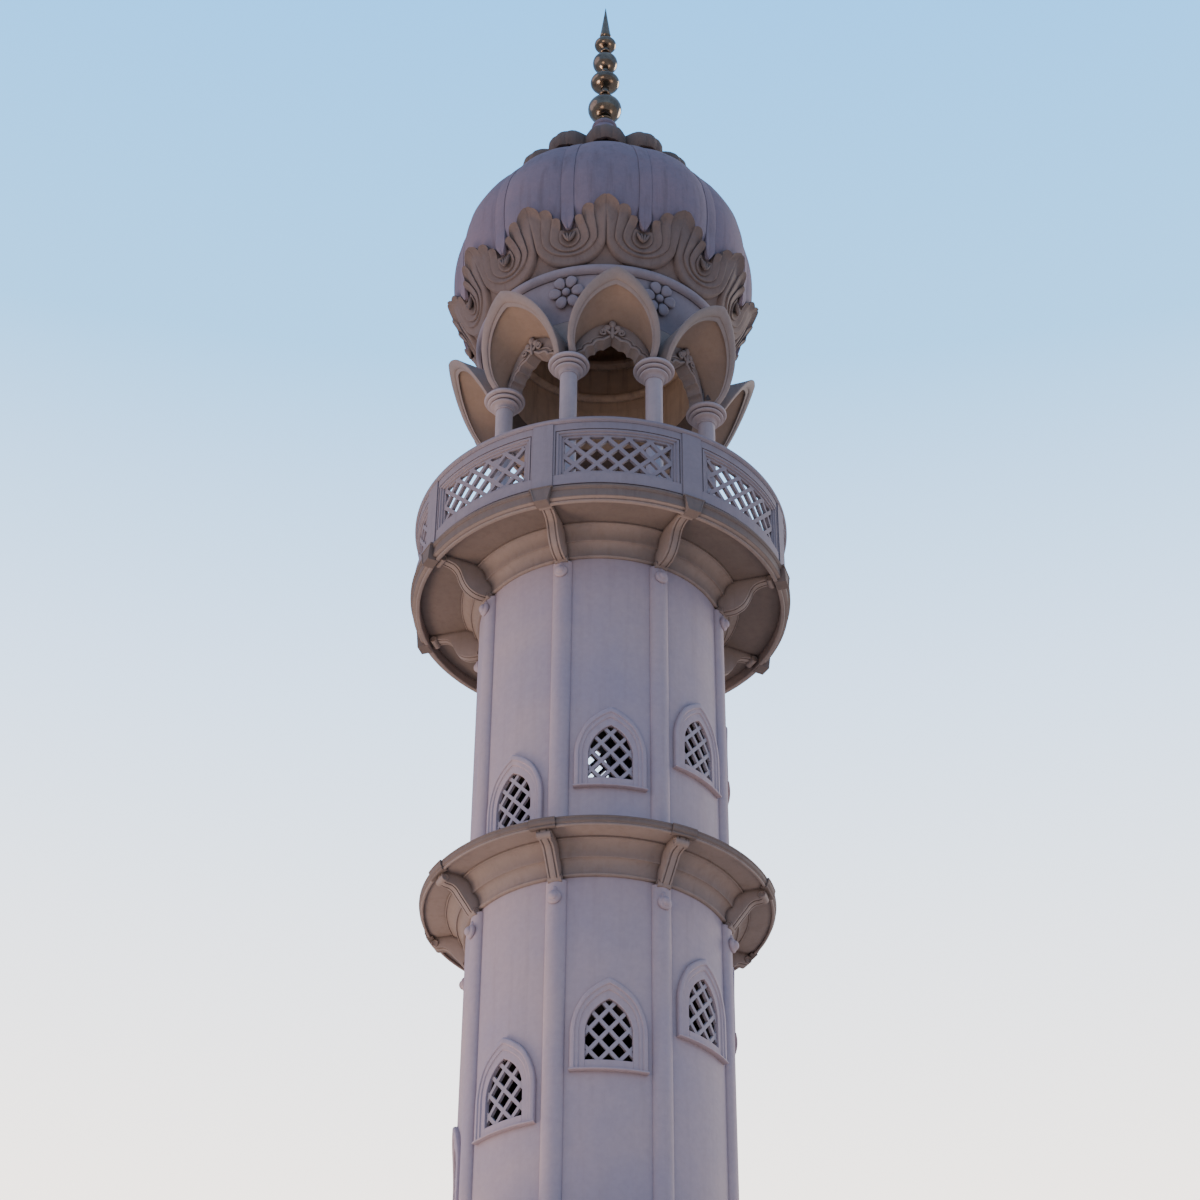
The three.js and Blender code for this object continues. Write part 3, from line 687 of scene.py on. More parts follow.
def make_window():
    section = [*mm(0, 1570, 0, 1620, 4, 1624, 72, 1624, 77, 1628, 80, 1636, 84, 1639, 121, 1639, 125, 1642,
        128, 1650, 133, 1654, 166, 1654, 179, 1648, 187, 1636), (FRAME_SIDE, 1.62), (FRAME_SIDE, 1.57)]
    frame_piece = arch_moulding("window_moulding", section, WINDOW_HALF, -FRAME_BELOW, WINDOW_SPRING,
        WINDOW_HEIGHT)
    arc = arch_radius(WINDOW_HALF, WINDOW_HEIGHT - WINDOW_SPRING)

    def point_up(co):
        """Draws the band out towards its point, and in a little at its sides."""
        u = abs(co.x)
        opening = WINDOW_SPRING + sqrt(max(arc ** 2 - (u + arc - WINDOW_HALF) ** 2,
            0.0)) if u < WINDOW_HALF else WINDOW_SPRING
        up = 0.3 * max(co.z - opening, 0.0) * max(1 - u / 0.46, 0.0) ** 1.6 if co.z > WINDOW_SPRING else 0.0
        return Vector((copysign(min(u, WINDOW_HALF) + max(u - WINDOW_HALF, 0.0) * 0.88, co.x), co.y,
            co.z + up))

    shape(frame_piece, point_up)
    apron = strip("window_apron", [(1.57, -FRAME_BELOW), (1.624, -FRAME_BELOW),
        *mm(1624, -6, 1618, 0, 1570, 0)], WINDOW_HALF, 8)
    sill = strip("window_sill", mm(1580, -134, 1661, -134, 1667, -129, 1667, -116, 1661, -110, 1580, -104),
        0.442, 14)
    surround = join("window_surround", [frame_piece, apron, sill])
    wrap(surround, SHAFT_R)
    paint(surround, LIMEWASH)
    bars = lattice(0.228, 0.258, 9, 0.044, 1.562, 1.6)
    cut(bars, [arch_block("arch_block", -1.3, -0.4, WINDOW_HALF + 0.02, -0.02, WINDOW_SPRING,
        WINDOW_HEIGHT + 0.025)], "INTERSECT")
    wrap(bars, SHAFT_R)
    paint(bars, GRILLE)
    return join("window", [surround, bars])


def make_storey(name, low, neck, rib_foot, window, door=False):
    high = neck + SLAB_UNDER - GAP
    wall = turned(f"{name}_storey_wall", [(INNER_R, low), (SHAFT_R, low), (SHAFT_R, high), (INNER_R, high)])
    hole = arch_block("hole", -1.2, -0.6, WINDOW_HALF, 0.0, WINDOW_SPRING, WINDOW_HEIGHT)
    places = window_places(name, neck)
    cutters = [twin(hole, "hole", azimuth, sill) for azimuth, sill in places]
    if door:
        cutters.append(arch_block("door_hole", 1.2, 0.7, DOOR_HALF, low - 0.05, DOOR_SPRING, DOOR_APEX))
    bpy.data.objects.remove(hole)
    cut(wall, cutters)
    # Painted shade: the window reveals and the inner wall take the near-black copy
    paint(wall, LIMEWASH, (SHADE, lambda f: reach(f.center) < SHAFT_R - 0.03))
    nodes = [f"{name}_wall_{i}" for i in (1, 2, 3, 4)] + (["doorway_wall"] if door else [])
    place(wall, nodes=nodes, crease=25)
    windows = join(f"{name}_storey_windows", [twin(window, "window", azimuth, sill) for azimuth,
        sill in places])
    place(windows)
    # A rib: a half-round roll that runs softly into the wall
    roll = [(0.128 * cos(pi * i / 20), SHAFT_R - 0.002 + 0.082 * sin(pi * i / 20) ** 1.15)
        for i in range(21)]
    section = [(0.128, SHAFT_R - 0.05), *roll, (-0.128, SHAFT_R - 0.05)]
    rib = prism("rib", [(u, -v, rib_foot) for u, v in section], (0, 0, neck - 0.075 - rib_foot))
    place(ring_of(rib, f"{name}_storey_ribs", RIBS), LIMEWASH)


def make_door():
    section = mm(0, 1530, 0, 1625, 5, 1630, 70, 1630, 75, 1645, 82, 1650, 120, 1650, 126, 1665, 135, 1670,
        172, 1670, 185, 1660, 190, 1640, 190, 1530)
    piece = arch_moulding("doorway_surround", section, DOOR_HALF, PLINTH_TOP + GAP, DOOR_SPRING, DOOR_APEX)
    slices(piece, 0.64, 12)
    wrap(piece, SHAFT_R)
    place(turn(piece, 180), LIMEWASH)


# Eave galleries and the balcony

def cove_profile(neck):
    """From the wall under the slab, out over the neck moulding and two coves to the soffit."""
    rises = [(0.0003, SLAB_UNDER), (0.0003, -0.032), *mm(28, -30, 40, -22, 44, -10, 40, 4, 28, 12, 28, 22,
        29, 60, 37, 100, 53, 133, 78, 158, 106, 172, 114, 174, 117, 167, 125, 167, 129, 175, 129, 186, 131,
        215, 139, 250, 158, 290, 188, 323, 228, 344, 246, 348, 250, 341, 257, 341, 262, 349),
        (0.262, SOFFIT_RISE)]
    return [(STAIRWELL_R, neck + SLAB_UNDER)] + [(SHAFT_R + r, neck + z) for r, z in rises]


EAVE_EDGE = [*mm(-62, 370, -62, 343, -56, 337, -40, 336, -30, 342, -26, 354, -32, 366, -24, 372, -14, 380,
    -8, 392, -8, 424, -2, 429, 0, 436, 0, 446), (-0.004, SLAB_TOP)]


def bracket(neck, under, curls):
    """A scrolled bracket: a core with raised edges, a roll down the middle of its face and curled ends."""
    line = smooth_line([(r, neck + z) for r, z in under], 5)
    soffit = neck + SOFFIT_RISE + 0.02
    parts = []
    for left, right, sunk in ((-0.066, 0.066, 0.009), (-0.0725, -0.05, 0.0), (-0.034, 0.034, -0.003),
            (0.05, 0.0725, 0.0)):
        edge = [p for p in offset([(p[0], p[1]) for p in line], sunk) if p[0] > SHAFT_R + 0.001]
        outline = [(left, -r, z) for r, z in [(SHAFT_R + 0.0005, edge[0][1]), *edge, (edge[-1][0], soffit),
            (SHAFT_R + 0.0005, soffit)]]
        part = prism("part", outline, (right - left, 0, 0))
        modify(part, "BEVEL", width=0.006, segments=2, limit_method="ANGLE", angle_limit=radians(60))
        parts.append(part)
    ends = []
    for r, z, size in curls:
        ops.mesh.primitive_cylinder_add(vertices=24, radius=size, depth=0.169)
        end = bpy.context.object
        end.data.transform(Matrix.Translation((0, -r, neck + z)) @ Matrix.Rotation(pi / 2, 4, "Y"))
        edit(end)
        pick(end, lambda f: abs(f.normal.x) > 0.9)
        ops.mesh.inset(thickness=size * 0.24, depth=0.004, use_individual=True)
        ops.mesh.inset(thickness=size * 0.2, depth=-0.012, use_individual=True)
        leave()
        ends.append(end)
    return join("arm", [*ends, *parts])


def boss(z):
    """The button under a bracket, on a short neck."""
    return join("button", [knob((0.04, 0.035, 0.07), (0, -1.668, z + 0.085)),
        knob((0.09, 0.05, 0.09), (0, -1.69, z), rings=14), knob((0.06, 0.05, 0.06), (0, -1.718, z),
        rings=14)])


def make_brackets(name, neck, under, curls, drop):
    """The brackets under a slab, each over a button that hangs a drop below the neck."""
    # The brackets take the eave plaster: painted shade and warm bounce light
    place(ring_of(bracket(neck, under, curls), f"{name}_brackets", RIBS), SOFFIT)
    place(ring_of(boss(neck - drop), f"{name}_bosses", RIBS), LIMEWASH, crease=40)


def make_eave(name, node, neck):
    edge = [(EAVE_R + r, neck + z) for r, z in EAVE_EDGE]
    slab = turned(f"{name}_slab", [*cove_profile(neck), *edge, (STAIRWELL_R, neck + SLAB_TOP)])
    # Painted shade: the slab takes the darker, warmer eave plaster, and the top of its outer edge the darker
    # shaded copy
    paint(slab, SOFFIT, (SHADED_PLASTER, lambda f: f.center.z > neck + 0.375 and reach(f.center) > EAVE_R - 0.04))
    place(slab, nodes=[node])
    # The edge breaks forward in a block over each bracket
    block = strip("block", [(EAVE_R - 0.09, neck + 0.345), *[(r + 0.022,
        z - (0.006 if z < neck + 0.38 else 0.0)) for r, z in edge[2:]],
        (EAVE_R - 0.09, neck + SLAB_TOP + 0.004)], 0.16, 8)
    wrap(block, EAVE_R)
    # Painted shade: the blocks take the darker shaded copy of the plaster
    place(ring_of(block, f"{name}_edge_blocks", RIBS), SHADED_PLASTER)
    under = mm(1603, -85, 1660, -94, 1715, -70, 1765, -10, 1820, 60, 1878, 130, 1925, 190, 1985, 225, 2050,
        232, 2100, 250, 2126, 285, 2130, 320)
    make_brackets(name, neck, under, [(2.088, 0.287, 0.048), (1.664, -0.062, 0.046)], 0.312)


def make_balcony():
    neck = UPPER_NECK
    slab = turned("balcony_slab", [*cove_profile(neck), *mm(2405, 21970, 2405, 21838, 2412, 21828, 2432,
        21822, 2452, 21826, 2462, 21840, 2460, 21856, 2482, 21862, 2504, 21868, 2510, 21876, 2510, 21972,
        2514, 21980, 2522, 21984, 2530, 21992, 2534, 22003, 2541, 22008, 2541, 22032, 2535, 22040, 2390,
        22040), (2.39, FLOOR_Z), (STAIRWELL_R, FLOOR_Z)])
    # Painted shade: the slab takes the darker, warmer eave plaster, and its fascia and soffit flat the darker
    # shaded copy; its top is the pale paving
    paint(slab, SOFFIT, (PAVING, lambda f: f.normal.z > 0.9 and f.center.z > FLOOR_Z - 0.01),
        (SHADED_PLASTER, lambda f: reach(f.center) > FASCIA_R or (f.normal.z < -0.9
        and abs(f.center.z - neck - SOFFIT_RISE) < 0.01)))
    place(slab, nodes=["balcony"])
    # Keystone blocks: narrow at the foot and wide at the top, each with a sunk face
    outline = mm(-88, 21818, 88, 21818, 138, 22012, 155, 22016, 155, 22040, -155, 22040, -155, 22016, -138,
        22012)
    block = prism("keystone", [(u, -2.42, z) for u, z in outline], (0, -0.15, 0))
    edit(block)
    pick(block, lambda f: f.normal.y < -0.9)
    ops.mesh.inset(thickness=0.014, depth=0.0)
    ops.mesh.inset(thickness=0.006, depth=-0.008)
    leave()
    # Painted shade: the keystones take the darker shaded copy of the plaster
    place(ring_of(block, "balcony_keystones", RIBS), SHADED_PLASTER)
    under = mm(1603, -78, 1680, -83, 1760, -87, 1849, -79, 1925, -45, 1987, 6, 2045, 100, 2087, 199, 2135,
        258, 2199, 290, 2300, 304, 2370, 309, 2404, 318)
    make_brackets("balcony", neck, under, [(2.345, 0.31, 0.05), (1.668, -0.058, 0.046)], 0.245)


# Railing

def make_railing():
    kerb = turned("kerb", [(2.405, KERB_FOOT), (2.478, KERB_FOOT), *mm(2478, 22083, 2501, 22083, 2505, 22088,
        2505, 22246, 2501, 22250, 2405, 22250)])
    post = strip("post", [(2.395, KERB_FOOT), (2.52, KERB_FOOT), (2.52, HANDRAIL_Z - GAP),
        (2.395, HANDRAIL_Z - GAP)], radians(3.1) * RAIL_R, 4)
    wrap(post, RAIL_R)
    whole = join("railing_kerb_posts", [ring_of(post, "posts", RIBS), kerb])
    place(whole, RAIL, ["railing_kerb_and_posts"])
    cap = turned("railing_cap", [(2.375, HANDRAIL_Z), (2.512, HANDRAIL_Z),
        *mm(2516, 23104, 2517, 23112, 2524, 23116, 2532, 23124, 2536, 23136, 2536, 23156, 2532, 23168, 2522,
        23177, 2508, 23180, 2387, 23180, 2377, 23172, 2375, 23160)])
    place(cap, RAIL, ["handrail"])

    # A panel: stepped mouldings up its sides and over its head, mitred at the corners, and a lattice
    section = [*mm(0, 2410, 0, 2454, 5, 2460, 28, 2460, 32, 2466, 34, 2476, 40, 2480, 62, 2480, 66, 2484, 69,
        2494, 74, 2499, 98, 2499, 101, 2487, 109, 2487, 112, 2503), (POST_EDGE - LATTICE_HALF, 2.505),
        (POST_EDGE - LATTICE_HALF, 2.41)]
    side = POST_EDGE - LATTICE_HALF
    head = HANDRAIL_Z - GAP - LATTICE_TOP
    panel = draw("panel_frame", [(LATTICE_HALF + off, -r, PANEL_Z + GAP) for off, r in section], closed=True)
    pull(0, 0, 0.1)
    nudge(panel, lambda co: Vector((co.x, co.y, LATTICE_TOP + (head if co.x > LATTICE_HALF + side
        - 1e-4 else co.x - LATTICE_HALF))))
    steps = 9
    for i in range(steps):
        pull(0, 0, 0)
        shrink = (steps - i - 1) / (steps - i)
        nudge(panel, lambda co: Vector((co.x * shrink, co.y, co.z)))
    leave()
    modify_and_close(panel, "MIRROR", merge_threshold=1e-4)
    foot = strip("panel_foot", [(2.41, PANEL_Z + GAP), (2.49, PANEL_Z + GAP), (2.49, LATTICE_Z - 0.006),
        (2.484, LATTICE_Z), (2.41, LATTICE_Z)], LATTICE_HALF, 12)
    bars = lattice(2 * LATTICE_HALF / 5, 0.285, 9, 0.054, 2.415, 2.462)
    edit(turn(bars, 0, LATTICE_Z))
    half = LATTICE_HALF + 0.012
    for co, no in (((half, 0, 0), (1, 0, 0)), ((-half, 0, 0), (-1, 0, 0)),
            ((0, 0, LATTICE_TOP + 0.015), (0, 0, 1)), ((0, 0, LATTICE_Z - 0.012), (0, 0, -1))):
        select_whole()
        ops.mesh.bisect(plane_co=co, plane_no=no, clear_outer=True, use_fill=True)
    leave()
    panel = wrap(join("panel", [panel, foot, bars]), RAIL_R)
    place_copies(panel, "lattice_panel", PANELS, "railing_panel", material=RAIL)


# Kiosk: columns, petal hoods over cusped arches, and the drum

def make_columns():
    profile = [(0, FLOOR_Z + GAP), (0.19, FLOOR_Z + GAP), *mm(190, 22175, 182, 22185, 165, 22190, 178, 22205,
        180, 22220, 170, 22236, 145, 22242, 132, 22260, 121, 22290, 118, 22320, 118, 23600),
        (0.1155, 23.603), (0.1155, 23.607), *mm(118, 23610, 118, 24825, 130, 24828, 136, 24837, 130, 24847,
        124, 24850, 130, 24872, 148, 24890, 160, 24895, 185, 24898, 196, 24907, 198, 24922, 190, 24934, 180,
        24938, 180, 24946, 222, 24950, 236, 24959, 240, 24973, 233, 24986, 222, 24990, 222, 24998, 262,
        25000, 278, 25008, 284, 25022, 284, 25038, 276, 25051, 258, 25057), (0.255, CAPITAL_TOP),
        (0, CAPITAL_TOP)]
    column = turned("column", profile, steps=44)
    column.data.transform(Matrix.Translation((0, -COLUMN_RING_R, 0)))
    place_copies(column, "round_column", RIBS, "kiosk_column", material=COLUMN, crease=40)


def cusped_line():
    """The cusped edge of an arch as (across, up) points from the left foot to the right."""
    cusps = mm(455, 100, 375, 200, 250, 292, 118, 378)
    side = [(0.455, 0.0), (0.455, 0.05)]
    for (u0, z0), (u1, z1) in zip(cusps, cusps[1:]):
        for i in range(7):
            t = i / 7
            bulge = 0.042 * sin(pi * t)
            length = hypot(u1 - u0, z1 - z0)
            side.append((u0 + (u1 - u0) * t + bulge * (z1 - z0) / length,
                z0 + (z1 - z0) * t - bulge * (u1 - u0) / length))
    for i in range(8):
        t = i / 8
        side.append((0.118 * (1 - t) ** 1.5 + 0.02 * sin(pi * t), 0.378 + 0.092 * t ** 1.2 + 0.006
            * sin(pi * t)))
    foot = CAPITAL_TOP + GAP
    side = [(u, foot + z) for u, z in side]
    return [(-u, z) for u, z in side] + [(0.0, foot + 0.47)] + side[::-1]


def hood_point(across, out, sunk):
    """A point on a petal hood: across from -1 to 1 along the arch, out from 0 at the wall to 1 at the rim,
    and sunk so many metres under the back of the shell."""
    foot, wall_apex = CAPITAL_TOP + GAP, 25.85
    # The share of each side that rises straight from its foot
    straight = 0.26
    rim = 2.0
    q = 1.0 - abs(across)

    def arch(radius):
        share = (radius - ARCADE_OUT) / (HOOD_TIP_R - ARCADE_OUT)
        apex = wall_apex + (HOOD_TIP_Z - wall_apex) * share - sunk * 1.4
        half = 0.6 + 0.055 * min(share * 1.6, 1.0) - sunk
        spring = foot + 0.2 * (apex - foot)
        if q < straight:
            return half, foot + (spring - foot) * q / straight
        rise = apex - spring
        size = arch_radius(half, rise)
        part = (q - straight) / 0.74
        angle = atan2(rise, size - half) * part
        u, z = half - size + size * cos(angle), spring + size * sin(angle)
        # A third of the way from a pointed arch to an ellipse
        round_u, round_z = half * cos(part * pi / 2), spring + rise * sin(part * pi / 2)
        return u + (round_u - u) * 0.33, z + (round_z - z) * 0.33

    for _ in range(8):
        height = max(0.0, (arch(rim)[1] - foot) / (HOOD_TIP_Z - foot))
        rim = 1.6 + (HOOD_TIP_R - 1.6) * height ** 0.85
    radius = ARCADE_OUT - 0.07 + (rim - ARCADE_OUT + 0.07) * out
    u, z = arch(radius)
    # The sides draw in a little at the foot, where two hoods meet on a capital
    u *= 1.0 - 0.05 * (1.0 - min(q / straight, 1.0)) * out
    return Vector((copysign(u, across) if across else 0.0, -radius, z))


def make_hood():
    # Across the shell: out over its back, round the roll of the rim, and back over a bead on its hollow side
    section = mm(0, 0, 300, 0, 600, 0, 850, 0, 930, -4, 970, -6, 995, 0, 1010, 14, 1014, 32, 1008, 50, 992,
        64, 970, 72, 950, 73, 937, 70, 930, 73, 926, 82, 918, 91, 903, 94, 889, 90, 882, 80, 872, 72, 850,
        66, 780, 60, 600, 55, 350, 50, 0, 50)
    shell = grid(HOOD_STEPS, len(section) - 1)
    shape(shell, lambda co: hood_point(co.x, *section[round((co.y + 1) / 2 * (len(section) - 1))]))
    # The faces lie in rows along the arch; those past the bead are on the hollow side
    # Painted warm bounce light: the hollow side takes the warmer lining
    paint(shell, ARCADE, (LINING, lambda f: f.index // HOOD_STEPS > 20))
    close_up(shell)
    return shell


def make_fleur():
    """The three-lobed flower over the point of an arch, with two curled ends."""
    z = CAPITAL_TOP + 0.47
    parts = [knob((0.05, 0.035, 0.07), (0, -1.535, z + 0.2)), knob((0.052, 0.034, 0.05),
        (0.07, -1.53, z + 0.135), 0.5), knob((0.052, 0.034, 0.05), (-0.07, -1.53, z + 0.135), -0.5),
        knob((0.032, 0.036, 0.12), (0, -1.525, z + 0.07))]
    for side in (-1, 1):
        curl = []
        for i in range(26):
            angle = 1.2 + i * 0.36
            size = 0.052 * (1 - i / 32)
            curl.append((side * (0.125 - size * cos(angle)), -1.528, z + 0.05 + size * sin(angle)))
        parts.append(rod("curl", curl, 0.016))
        wing = smooth_line([(side * 0.02, -1.525, z + 0.03), (side * 0.07, -1.53, z + 0.075),
            (side * 0.12, -1.53, z + 0.1), (side * 0.16, -1.528, z + 0.075)], 5)
        parts.append(rod("wing", wing, 0.022))
    return [paint(part, ARCADE) for part in parts]


def make_arches():
    line = cusped_line()
    half = radians(SECTOR / 2 - 0.01) * ARCADE_OUT
    foot, top = CAPITAL_TOP + GAP, ARCADE_TOP - GAP
    outline = [(-half, foot), *line, (half, foot), (half, top), (-half, top)]
    wall = prism("arch_wall", [(u, -ARCADE_IN, z) for u, z in outline], (0, ARCADE_IN - ARCADE_OUT, 0))
    slices(wall, half, 14)
    # Painted shade: the arch wall's inner faces take the darker shaded copy of the plaster
    paint(wrap(wall, ARCADE_OUT), ARCADE, (SHADED_PLASTER, lambda f: reach(f.center) < ARCADE_IN + 0.01))

    def on_wall(points, out):
        return [(out * sin(u / ARCADE_OUT), -out * cos(u / ARCADE_OUT), z) for u, z in points]

    beads = [rod("edge_bead", on_wall(offset(line, 0.022), 1.505), 0.02),
        rod("outer_bead", on_wall([p for p in offset(line, 0.085) if p[1] > foot + 0.02], 1.502), 0.017)]
    parts = [wall, *[paint(bead, ARCADE) for bead in beads], *make_fleur(), make_hood()]
    place_copies(join("arch", parts[::-1]), "petal_arch", PANELS, "hooded_arch", crease=38)


def make_drum():
    torus = [(1.75 + 0.082 * cos(radians(a)), 26.576 + 0.082 * sin(radians(a))) for a in range(-84, 97, 15)]
    outside = smooth_line([(1.502, ARCADE_TOP), *mm(1530, 25970, 1585, 26080, 1645, 26190, 1692, 26320, 1722,
        26430, 1742, 26490)], 4)
    inside = [(1.33, DRUM_TOP), (1.325, 26.4), (1.32, ARCADE_TOP)]
    piece = turned("ring_drum", [*outside, (1.742, 26.505), *torus, (1.745, DRUM_TOP), *inside])
    # Painted light: the drum's inside takes the lighter, warmer kiosk lining
    paint(piece, RAIL, (INSIDE, lambda f: reach(f.center) < 1.4))
    place(piece, nodes=["kiosk_drum"])


def make_rosettes():
    """Six blunt petals round a button, on the drum between two hoods."""
    petals = []
    for i in range(6):
        petal = knob((0.062, 0.03, 0.078), (0, 0, 0.135), rings=8)
        shape(petal, lambda co: Vector((co.x * (1.0 + 2.2 * (co.z - 0.1)), co.y - 0.25 * abs(co.x), co.z)))
        petal.data.transform(Matrix.Rotation(radians(60 * i + 30), 4, "Y"))
        petals.append(petal)
    flower = join("flower", [*petals, knob((0.05, 0.04, 0.05), (0, -0.012, 0), rings=8)])
    flower.data.transform(Matrix.Translation((0, -1.69, 26.27)) @ Matrix.Rotation(radians(19), 4,
        "X") @ Matrix.Scale(1.2, 4))
    place_copies(flower, "rosette", RIBS, material=RAIL, crease=60)


# Dome, its ribbons and its collar of leaves

DOME_LINE = smooth_line([(1.64, DRUM_TOP + GAP), *mm(1960, 27050, 2135, 27400, 2190, 27650, 2205, 27950,
    2190, 28200, 2150, 28420, 2085, 28650, 1860, 29070, 1500, 29450, 1050, 29750), (0.56, DOME_TOP)], 4)


def lobe_distance(co):
    """How far a point stands from the middle of its lobe: 0 there, 1 under a ribbon."""
    azimuth = degrees(atan2(co.x, -co.y)) - DOME_TURN
    return abs((azimuth / LOBE_SECTOR + 0.5) % 1.0 - 0.5) * 2


def make_dome():
    inside = [(0.25, DOME_TOP), *mm(250, 29780, 1200, 29460, 1600, 29000, 1780, 28400, 1740, 27950, 1500,
        27700, 1300, 27660, 1270, 27640, 1270, 27580, 1300, 27560, 1370, 27550, 1370, 27020, 1300, 27000,
        1275, 26970, 1275, 26920, 1300, 26890, 1360, 26880), (1.35, DRUM_TOP + GAP)]
    piece = turned("lobed_dome", [*DOME_LINE, *inside], steps=360)

    def swell(co):
        if reach(co) < radius_at(DOME_LINE, co.z) - 0.05:
            return co
        return drawn(co, 1.0 - 0.042 * lobe_distance(co) ** 2.6)

    shape(piece, swell)
    # Painted shade and light: the dome takes its darker copy of the limewash, its inside the lighter kiosk
    # lining
    paint(piece, DOME, (INSIDE, lambda f: reach(f.center) < radius_at(DOME_LINE, f.center.z) - 0.11))
    place(piece, nodes=["dome"], crease=50)


def make_ribbons():
    """The raised bands between the lobes, each down to a point over the eye of two leaves."""
    sides = [-1.0, -0.985, -0.93, -0.8, -0.4, 0.0, 0.4, 0.8, 0.93, 0.985, 1.0]
    band = grid(len(sides) - 1, 64)
    line = [p for p in DOME_LINE if p[1] > 27.5]
    path = smooth_line([*mm(2050, 27125, 2078, 27220, 2098, 27340), *[(r * 0.958 + 0.02, z) for r,
        z in line[::3]], (0.5, DOME_TOP + 0.012)], 5)

    def lay(co):
        side = sides[round((co.x + 1) / 2 * (len(sides) - 1))]
        r, z = point_at(path, (co.y + 1) / 2)
        half = 0.098 * min(max((z - 27.12) / 0.17, 0.05), 1.0) ** 0.6 * (1.0 - 0.2 * max(0.0,
            (z - 29.0) / 0.95))
        rise = 0.0 if abs(side) > 0.99 else 0.03 if abs(side) > 0.95 else 0.045
        crease = 0.012 * (1 - min(abs(side) / 0.4, 1.0)) * (1 - min(max((z - 27.2) / 0.6, 0.0), 1.0))
        return Vector((side * half, -(r - 0.025 + rise + 0.006 * (1 - side ** 2) - crease), z))

    shape(band, lay)
    modify_and_close(band, "SOLIDIFY", thickness=0.04)
    # The ribbons take the darker dome plaster: painted shade
    place(ring_of(band, "dome_ribbons", EYES), DOME, crease=40)


LEAF_HALF = 0.5367
LEAF_EYE_Z = 27.05
LEAF_LINE = smooth_line([(1.79, DRUM_TOP), *mm(1870, 26800, 2005, 27000, 2100, 27200, 2172, 27400, 2210,
    27520, 2235, 27640)], 5)
# The bands that loop round an eye: where each begins and ends, as shares of the way to the middle of
# the leaf, how far it hangs under the eye there, and its scallop on the rim: top, falls and curl
LOOPS = [(0.0, 0.29, 0.0, 0.128, 27.15, 0.03, 0.0, 0.0), (0.29, 0.54, 0.128, 0.192, 27.285, 0.085, 0.0,
    0.05), (0.54, 0.76, 0.192, 0.25, 27.425, 0.1, 0.04, 0.065), (0.76, 1.0, 0.25, 0.38, 27.54, 0.14, 0.0,
    0.085)]


def leaf_point(loop, part, along):
    """A point on a band: part runs across it from 0 to 1, along from -1 to 1 between its two scallops."""
    low, high, hang_low, hang_high, top, near, far, curl = LOOPS[loop]
    share = low + (high - low) * part
    hang = hang_low + (hang_high - hang_low) * part
    off = 1 - part if loop == 3 else abs(2 * part - 1)
    top -= (near if part < 0.5 or loop == 3 else far) * (1 - sqrt(max(0.0, 1 - off ** 2)))
    tip = 0.0
    # The share of a band that bends round under the eye
    bend = 0.45
    if abs(along) < bend:
        angle = along / bend * pi / 2
        x, y = copysign(min(abs(1.03 * sin(angle)), 1.0), along) * share * LEAF_HALF, -hang * cos(angle)
    else:
        t = 1 - (1 - (abs(along) - bend) / 0.55) ** 1.5
        y = (top - LEAF_EYE_Z) * t
        lean = 0.52 * share * max(0.85 - share, 0.0) * min(y / 0.25, 1.0) ** 1.3
        x = copysign(max(share * LEAF_HALF - lean, share * 0.1), along)
        tip = max(0.0, (y - (top - LEAF_EYE_Z) + 0.11) / 0.11)
    # The bands step in towards the eye, and each rises to a lip at its outer edge
    depth = 0.045 * max(0.0, 1 - share / 0.75) + 0.008 * max(0.0, (part - 0.85) / 0.15) ** 2
    depth += 0.035 * (1 - part ** 2) if loop == 0 else 0.03 * (1 - part) ** 1.2
    if loop == 3:
        depth += 0.03 * max(0.0, (part - 0.72) / 0.28) ** 2 * min(max(1 - y / 0.32, 0.0), 1.0)
    z = LEAF_EYE_Z + y
    r = radius_at(LEAF_LINE, z) - depth + curl * tip ** 1.8 - 0.012 * tip * (2 * part - 1) ** 2
    # An azimuth of 0 here is the eye, between two leaves
    angle = x / LEAF_HALF * radians(LOBE_SECTOR / 2)
    return Vector((r * sin(angle), -r * cos(angle), z))


